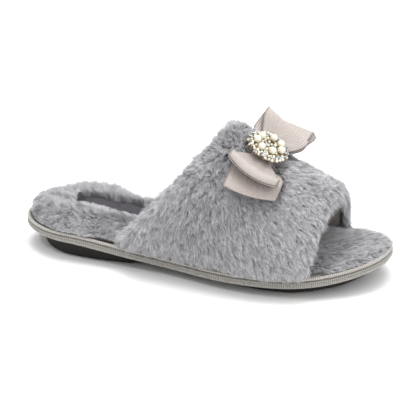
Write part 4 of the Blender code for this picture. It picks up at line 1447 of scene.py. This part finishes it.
    def sample(self, count: int, start: float, end: float, chance: np.random.Generator) -> tuple:
        """Even places on the pad between two distances from the heel's middle, off the label."""
        xs, ys = [], []
        while sum(map(len, xs)) < count:
            x = chance.uniform(start, end, count)
            y = chance.uniform(-0.055, 0.055, count)
            outer, inner = self.edges(x)
            run = x + LAST.heel_centre
            beside = np.abs(y - self.label_shift) > self.label_width * 0.53
            clear = beside | (run < self.label_start + 0.002) | (run > self.label_start + self.label_length)
            good = (y > outer + 0.0004) & (y < inner - 0.0004) & clear
            xs.append(x[good])
            ys.append(y[good])
        return np.concatenate(xs)[:count], np.concatenate(ys)[:count]

    def label(self) -> bpy.types.Object:
        """The plain satin label, with a small tuck at its rear end."""

        def surface(u: np.ndarray, v: np.ndarray) -> np.ndarray:
            """Points of the label along its length u and across it v."""
            run = self.label_start + u * self.label_length
            x = run - LAST.heel_centre
            y = self.label_shift + (v - 0.5) * self.label_width
            y = y + 0.0004 * np.sin(run * 190.0)
            z = self.height(x, y) + 0.0012 + 0.0005 * np.sin(run * 260.0 + v * 1.6)
            tuck = np.exp(-(((u - 0.04) / 0.030) ** 2) - ((v - 0.45) / 0.30) ** 2)
            return np.column_stack((x, y, z + self.tuck * tuck))

        bm = mapped_grid(90, 16, surface)
        obj = object_from("insole_label_cloth", bm, self.finishes.label)
        thicken(obj, 0.0005)
        settle(obj, "insole_label", slot="label")
        return obj

    def build(self) -> None:
        """Makes the pad, its pile and the label."""
        self.pad()
        self.label()
        pelt = Pelt(self.seed + 2)
        chance = np.random.default_rng(self.seed + 1)
        for name, count, start, end in self.zones:
            cells = int(count / 6.0 * 1.0e-6 * 1.25 / self.tuft**2) + 60
            seeds = self.sample(cells, start, end, chance)
            x, y = self.sample(count, start, end, chance)
            which = pelt.nearest(np.column_stack((x, y)), np.column_stack(seeds))
            tufts = self.lay(*seeds, chance, 0.20, 0.16)
            strands = self.lay(x, y, chance, 0.30, 0.20)
            settle(pelt.grow(name, strands, tufts, which, self.finishes.insole_pile), slot="fur")


@dataclass
class Sole:
    """The ribbed binding round the platform, its bead and the rubber under it."""

    finishes: Finishes
    steps: int = 300
    inset_top: float = 0.0045
    inset_floor: float = 0.0095
    waist_inset: float = 0.0065
    heel_inset: float = 0.0034
    heel_end: float = 0.24
    heel_round: float = 1.1
    groove: tuple[float, float] = (0.0020, 0.0012)
    pitches: tuple[float, float] = (0.0080, 0.0060)
    groove_end: float = 0.0080
    ball_rest: float = 0.1520

    def ringed(
        self, inset: float, height: Callable[[np.ndarray], np.ndarray], waist: float = 0.0, heel: float = 0.0
    ) -> np.ndarray:
        """The sole's edge moved inwards and raised.

        Args:
            inset: How far in.
            height: Gives the height at a share of the length.
            waist: How much further in it goes under the foot's arch.
            heel: How much further in it goes round the heel.

        Returns:
            The ring's points.
        """
        ring = LAST.ring(self.steps)
        share = LAST.share_of(ring[:, 0])
        along = unit(np.roll(ring, -1, axis=0) - np.roll(ring, 1, axis=0))
        rows = ((0.00, 0.0), (0.28, 0.0), (0.44, 1.0), (0.58, 0.9), (0.72, 0.4), (1.00, 0.2))
        far = inset + waist * curve_through(rows, share) + heel * (1.0 - soft_step(share / self.heel_end))
        moved = ring + np.column_stack((-along[:, 1], along[:, 0])) * far[:, None]
        return np.column_stack((moved, height(LAST.share_of(moved[:, 0]))))

    def loft(self, rings: Sequence[np.ndarray], around: Sequence[float]) -> bmesh.types.BMesh:
        """Skins closed rings one above the other and closes the two ends.

        Args:
            rings: The rings, from the lowest.
            around: The run of each ring along the section, for the weave.

        Returns:
            The mesh under construction.
        """
        bm = bmesh.new()
        layer = bm.loops.layers.uv.new("weave")
        count = len(rings[0])
        path = rings[len(rings) // 2]
        run = run_along(path)
        rows = [[bm.verts.new(point) for point in ring] for ring in rings]
        for row in rows:
            for vert, ahead in zip(row, row[1:] + row[:1]):
                bm.edges.new((vert, ahead))
        for k, (low, high) in enumerate(zip(rows, rows[1:])):
            sides = [bm.edges.get((r[i], r[(i + 1) % count])) for r in (low, high) for i in range(count)]
            made = bmesh.ops.bridge_loops(bm, edges=sides)["faces"]
            place = {v: (run[i], around[k]) for i, v in enumerate(low)}
            place.update({v: (run[i], around[k + 1]) for i, v in enumerate(high)})
            for face in made:
                far = max(place[loop.vert][0] for loop in face.loops)
                for loop in face.loops:
                    here, up = place[loop.vert]
                    if far - here > 0.2:
                        here = far + (far - run[-2])
                    loop[layer].uv = (here, up)
        for row in (rows[0], rows[-1]):
            bmesh.ops.contextual_create(
                bm, geom=[bm.edges.get((row[i], row[(i + 1) % count])) for i in range(count)]
            )
        turn_out(bm)
        return bm

    def binding(self) -> bpy.types.Object:
        """The platform in its ribbed binding, with a groove under the bead."""
        section = (
            (0.0024, 0.00), (0.0012, 0.04), (0.0005, 0.12), (0.0001, 0.26), (0.0, 0.44), (0.0002, 0.58),
            (0.0006, 0.64), (0.0002, 0.70), (0.0001, 0.80), (0.0005, 0.92), (0.0014, 0.985), (0.0026, 1.0),
        )
        rings = [
            self.ringed(
                inset, lambda share, k=k: LAST.lift(share) + LAST.platform * k,
                heel=LAST.platform * self.heel_round * max(0.4 - k, 0.0),
            )
            for inset, k in section
        ]
        bm = self.loft(rings, [LAST.platform * k for _, k in section])
        return settle(object_from("ribbed_binding", bm, self.finishes.binding), "midsole", slot="binding")

    def bead(self) -> bpy.types.Object:
        """The round bead along the binding's top edge."""
        radius = LAST.piping / 2
        path = self.ringed(LAST.clearance + radius, lambda s: LAST.top(s) + radius + LAST.clearance)
        run = run_along(np.vstack((path, path[:1])))
        ahead = unit(np.roll(path, -1, axis=0) - np.roll(path, 1, axis=0))
        aside = unit(np.cross(ahead, (0.0, 0.0, 1.0)))
        up = np.cross(aside, ahead)
        count = len(path)

        def surface(u: np.ndarray, v: np.ndarray) -> np.ndarray:
            """Points of the bead along its run u and round it v."""
            k = np.round(u * count).astype(int)
            angle = v * 2 * math.pi
            i = k % count
            point = path[i] + (aside[i] * np.cos(angle)[:, None] + up[i] * np.sin(angle)[:, None]) * radius
            return np.column_stack((point, run[k] + v * 0.0011, v * 2 * math.pi * radius))

        bm = mapped_grid(count, 14, surface, weave=True)
        bmesh.ops.remove_doubles(bm, verts=bm.verts, dist=1e-6)
        turn_out(bm)
        return settle(object_from("corded_bead", bm, self.finishes.bead), "piping", slot="piping")

    def rubber(self) -> bpy.types.Object:
        """The outsole with its grooves."""
        edge = mix(self.inset_floor, self.inset_top, 0.3)
        low, high = (lambda s: LAST.floor_line(s) + 0.0012), (lambda s: LAST.lift(s) - LAST.clearance)
        section = (
            (self.inset_floor + 0.0006, LAST.floor_line, 1.0),
            (self.inset_floor, lambda s: LAST.floor_line(s) + 0.0003, 0.98),
            (edge, low, 0.9),
            (mix(edge, self.inset_top, 0.5), lambda s: mix(low(s), high(s), 0.5), 0.7),
            (self.inset_top, high, 0.5),
        )
        rings = [
            self.ringed(inset, height, self.waist_inset * tuck, self.heel_inset * (0.55 + 0.9 * tuck))
            for inset, height, tuck in section
        ]
        bm = self.loft(rings, (0.0, 0.001, 0.003, 0.006, 0.010))
        obj = object_from("rubber_outsole", bm, self.finishes.rubber)
        cutter = self.grooves()
        cut = obj.modifiers.new("tread", "BOOLEAN")
        cut.operation = "DIFFERENCE"
        cut.object = cutter
        made = bpy.data.meshes.new_from_object(obj.evaluated_get(bpy.context.evaluated_depsgraph_get()))
        obj.modifiers.clear()
        obj.data = made
        bpy.data.objects.remove(cutter)
        made.shade_smooth()
        made.set_sharp_from_angle(angle=math.radians(35))
        return settle(obj, "outsole", slot="outsole_rubber")

    def grooves(self) -> bpy.types.Object:
        """The shape of all the tread's grooves."""
        width, depth = self.groove
        bm = bmesh.new()
        rows = (
            (0.0, 2, 6, self.pitches[0], self.inset_floor + self.groove_end),
            (self.ball_rest, 5, 7, self.pitches[1], 0.0),
        )
        for rest, behind, ahead, pitch, margin in rows:
            for i in range(-behind, ahead):
                x = rest + (i + 0.5) * pitch
                share = LAST.share_of(np.array(x))
                outer, inner = (float(y) for y in LAST.outline(share))
                place = Matrix.Translation((x, (outer + inner) / 2, float(LAST.floor_line(share))))
                size = (width, inner - outer - 2 * margin, 2 * depth, 1.0)
                bmesh.ops.create_cube(bm, size=1.0, matrix=place @ Matrix.Diagonal(size))
        return object_from("tread_shape", bm)

    def build(self) -> None:
        """Makes the binding, the bead and the rubber."""
        self.binding()
        self.bead()
        self.rubber()


@dataclass
class Brooch:
    """The round cluster of pearls and cut stones on a gold setting."""

    bow: Bow
    finishes: Finishes
    radius: float = 0.0148
    thick: float = 0.0014
    back: float = 0.45
    plate: float = 0.94
    plate_shift: float = 0.08
    rearward: float = 0.0013
    outward: float = 0.0016
    cup: float = 0.0002
    pearl: float = 0.0026
    seed_radius: float = 0.00105
    large: float = 0.0020
    small: float = 0.0015
    pearls: tuple = (
        (-0.49, 0.38), (-0.57, -0.05), (-0.24, -0.33), (0.28, -0.16), (0.59, 0.24), (0.42, 0.63), (0.01, 0.71),
    )
    large_stones: tuple = ((-0.09, 0.17), (0.03, -0.66), (0.67, -0.15))
    small_stones: tuple = (
        (0.22, 0.22), (-0.88, 0.06), (-0.88, -0.29), (-0.70, -0.55), (-0.36, -0.77), (0.46, -0.50),
        (0.93, 0.13), (0.86, 0.42), (0.74, 0.68), (0.24, 0.96), (-0.33, 0.74), (-0.81, 0.42),
    )
    seed: int = 91

    def stand(self) -> Matrix:
        """The matrix that stands the brooch on the bow's wrap."""
        place, forward, inward, out = self.bow.seat()
        origin = place + out * (self.bow.top() + self.bow.thick * 0.5 + LAST.clearance)
        origin = origin - forward * self.rearward - inward * self.outward
        turned = Matrix([list(forward), list(inward), list(out)]).transposed().to_4x4()
        return Matrix.Translation(Vector(origin)) @ turned

    def seats(self) -> list[tuple[float, float, float, bool]]:
        """Place forwards and inwards, radius, and whether it is a pearl, for each stone and pearl."""
        rows = [(a, b, self.pearl, True) for a, b in self.pearls]
        rows += [(a, b, self.large, False) for a, b in self.large_stones]
        rows += [(a, b, self.small, False) for a, b in self.small_stones]
        return [(a * self.radius, b * self.radius, r, pearl) for a, b, r, pearl in rows]

    def seeds(self) -> list[tuple[float, float, float]]:
        """Places and radii of the seed pearls that fill the room between the larger ones."""
        chance = np.random.default_rng(self.seed)
        taken = self.seats()
        found: list[tuple[float, float, float]] = []
        for _ in range(4000):
            angle, out = chance.uniform(0, 2 * math.pi), self.radius * 0.90 * math.sqrt(chance.uniform(0, 1))
            a, b = out * math.cos(angle), out * math.sin(angle) + self.radius * self.plate_shift
            r = self.seed_radius * chance.uniform(0.85, 1.15)
            clear = all(math.hypot(a - c, b - d) > q * 0.86 + r for c, d, q, _ in taken)
            if clear and all(math.hypot(a - c, b - d) > (q + r) * 0.96 for c, d, q in found):
                found.append((a, b, r))
        return found

    def setting(self, stand: Matrix) -> bpy.types.Object:
        """The dished plate, a cup under each stone and the claws round it."""
        bm = bmesh.new()
        plate = Matrix.Translation((0, self.radius * self.plate_shift, self.thick / 2))
        bmesh.ops.create_cone(
            bm, cap_ends=True, segments=48, radius1=self.radius * self.back, radius2=self.radius * self.plate * 0.94,
            depth=self.thick, matrix=stand @ plate,
        )
        rims = [edge for edge in bm.edges if len(edge.link_faces) == 2 and edge.calc_face_angle(0) > 0.5]
        bmesh.ops.bevel(
            bm, geom=rims, offset=0.0004, segments=3, profile=0.5, affect="EDGES", material=-1,
        )
        for ahead, aside, radius, pearl in self.seats():
            low, high = self.thick * 0.5, self.thick + self.cup * 1.25
            place = stand @ Matrix.Translation((ahead, aside, (low + high) / 2))
            bmesh.ops.create_cone(
                bm, cap_ends=True, segments=20, radius1=radius * 0.55, radius2=radius * 0.95,
                depth=high - low, matrix=place,
            )
            if pearl:
                continue
            for k in range(4):
                turn = Matrix.Rotation(math.radians(45 + 90 * k), 4, "Z")
                claw = turn @ Matrix.Translation((radius * 0.96, 0, high - low)) @ Matrix.Rotation(-0.25, 4, "Y")
                bmesh.ops.create_cone(
                    bm, cap_ends=True, segments=8, radius1=0.00032, radius2=0.00022, depth=0.0017,
                    matrix=stand @ Matrix.Translation((ahead, aside, low + 0.0002)) @ claw,
                )
        obj = object_from("brooch_setting", bm, self.finishes.gold)
        obj.data.set_sharp_from_angle(angle=math.radians(50))
        return settle(obj, "brooch_base", slot="setting")

    def pearl_cluster(self, stand: Matrix) -> bpy.types.Object:
        """All the pearls as one piece."""
        bm = bmesh.new()
        for ahead, aside, radius, pearl in self.seats():
            if pearl:
                high = self.thick + self.cup + LAST.clearance + radius
                place = stand @ Matrix.Translation((ahead, aside, high))
                bmesh.ops.create_uvsphere(bm, u_segments=36, v_segments=22, radius=radius, matrix=place)
        for ahead, aside, radius in self.seeds():
            place = stand @ Matrix.Translation((ahead, aside, self.thick + self.cup * 0.6 + radius))
            bmesh.ops.create_uvsphere(bm, u_segments=16, v_segments=10, radius=radius, matrix=place)
        obj = object_from("brooch_pearls", bm, self.finishes.pearl)
        return settle(obj, *(f"pearl_{k}" for k in range(1, len(self.pearls) + 1)), slot="pearl")

    def stone_cluster(self, stand: Matrix) -> bpy.types.Object:
        """All the cut stones as one piece, each facet with its own painted reflection, from dark to bright."""
        bm = bmesh.new()
        for ahead, aside, radius, pearl in self.seats():
            if pearl:
                continue
            base = self.thick + self.cup + LAST.clearance
            girdle = base + radius * 0.55
            lower = Matrix.Translation((ahead, aside, (base + girdle) / 2))
            bmesh.ops.create_cone(
                bm, cap_ends=True, segments=12, radius1=radius * 0.4, radius2=radius, depth=girdle - base,
                matrix=stand @ lower,
            )
            crown = Matrix.Translation((ahead, aside, girdle + radius * 0.27)) @ Matrix.Rotation(0.26, 4, "Z")
            bmesh.ops.create_cone(
                bm, cap_ends=True, segments=12, radius1=radius * 0.98, radius2=radius * 0.5,
                depth=radius * 0.54, matrix=stand @ crown,
            )
        chance = np.random.default_rng(self.seed)
        # Painted reflections: a random brightness for each facet, from dark to bright.
        glint_tones = chance.choice((0.0, 0.15, 0.55, 0.85, 1.0), len(bm.faces), p=(0.16, 0.16, 0.18, 0.25, 0.25))
        obj = object_from("brooch_stones", bm, self.finishes.crystal)
        obj.data.shade_flat()
        facet_glint = obj.data.attributes.new("facet_glint", "FLOAT", "FACE")
        facet_glint.data.foreach_set("value", glint_tones.astype(np.float32))
        count = len(self.large_stones) + len(self.small_stones)
        return settle(obj, *(f"stone_{k}" for k in range(1, count + 1)), slot="stone")

    def build(self) -> None:
        """Makes the setting, the pearls and the stones."""
        stand = self.stand()
        self.setting(stand)
        self.pearl_cluster(stand)
        self.stone_cluster(stand)


@dataclass
class Studio:
    """The pale floor, the soft lights and the camera."""

    azimuth: float = 22.12
    elevation: float = 23.9
    roll: float = -1.51
    target: tuple[float, float, float] = (0.096, 0.0, 0.040)
    distance: float = 1.5
    focal_px: float = 2220.0
    centre_px: tuple[float, float] = (202.8, 204.5)
    frame_px: float = 416.0
    sensor: float = 36.0
    daylight: float = 0.66
    lamps: tuple = (
        ("key_light", (1.10, -0.10, 0.90), 1.6, 10.0),
        ("top_light", (0.00, 0.35, 1.35), 1.2, 20.0),
        ("small_light", (-0.35, -0.65, 1.20), 0.18, 3.0),
    )

    def camera(self) -> None:
        """Makes the camera of the photograph's angle."""
        az, el, roll = (math.radians(a) for a in (self.azimuth, self.elevation, self.roll))
        back = Vector((math.sin(az) * math.cos(el), -math.cos(az) * math.cos(el), math.sin(el)))
        right = (-back).cross(Vector((0, 0, 1))).normalized()
        up = right.cross(-back)
        turned = right * math.cos(roll) + up * math.sin(roll)
        upright = up * math.cos(roll) - right * math.sin(roll)
        data = bpy.data.cameras.new("camera")
        data.sensor_width = self.sensor
        data.lens = self.focal_px / self.frame_px * self.sensor
        data.shift_x = (self.frame_px / 2 - self.centre_px[0]) / self.frame_px
        data.shift_y = (self.centre_px[1] - self.frame_px / 2) / self.frame_px
        data.clip_start, data.clip_end = 0.05, 50.0
        camera = add_object("camera", data)
        basis = Matrix((turned, upright, back)).transposed().to_4x4()
        camera.matrix_world = Matrix.Translation(Vector(self.target) + back * self.distance) @ basis
        bpy.context.scene.camera = camera

    def floor(self) -> None:
        """Makes the plain pale floor."""
        bm = bmesh.new()
        bmesh.ops.create_grid(bm, x_segments=1, y_segments=1, size=6.0)
        material, t, shader = start_material("studio_floor")
        soft = t.noise(t.place(), 2.0, 1.0)
        tone = t.blend(soft, (0.955, 0.955, 0.955), (0.965, 0.965, 0.965))
        t.fill(shader, Base_Color=tone, Roughness=0.9, Specular_IOR_Level=0.1)
        object_from("studio_floor", bm, material)

    def lamp(self, name: str, place: Sequence[float], size: float, power: float) -> None:
        """Makes one soft area light that faces the slide.

        Args:
            name: Its name.
            place: Where it stands.
            size: Its side.
            power: Its watts.
        """
        data = bpy.data.lights.new(name, "AREA")
        data.size, data.energy = size, power
        lamp = add_object(name, data)
        lamp.location = place
        aim = Vector(self.target) - Vector(place)
        lamp.rotation_euler = aim.to_track_quat("-Z", "Y").to_euler()

    def build(self) -> None:
        """Makes the whole studio."""
        bpy.context.scene.view_settings.view_transform = "Standard"
        world = bpy.data.worlds.new("studio")
        world.use_nodes = True
        sky = world.node_tree.nodes["Background"]
        Tree(world.node_tree).fill(sky, Color=(1.0, 1.0, 1.0, 1.0), Strength=self.daylight)
        bpy.context.scene.world = world
        self.camera()
        self.floor()
        for lamp in self.lamps:
            self.lamp(*lamp)


def main() -> None:
    """Builds the slide and its studio, and reports each piece."""
    logging.basicConfig(level=logging.INFO, format="%(name)s: %(message)s")
    Studio().build()
    finishes = Finishes()
    bow = Bow()
    Sole(finishes).build()
    Footbed(finishes).build()
    Upper(bow, finishes).build()
    bow.build(finishes)
    Brooch(bow, finishes).build()


if __name__ == "__main__":
    main()
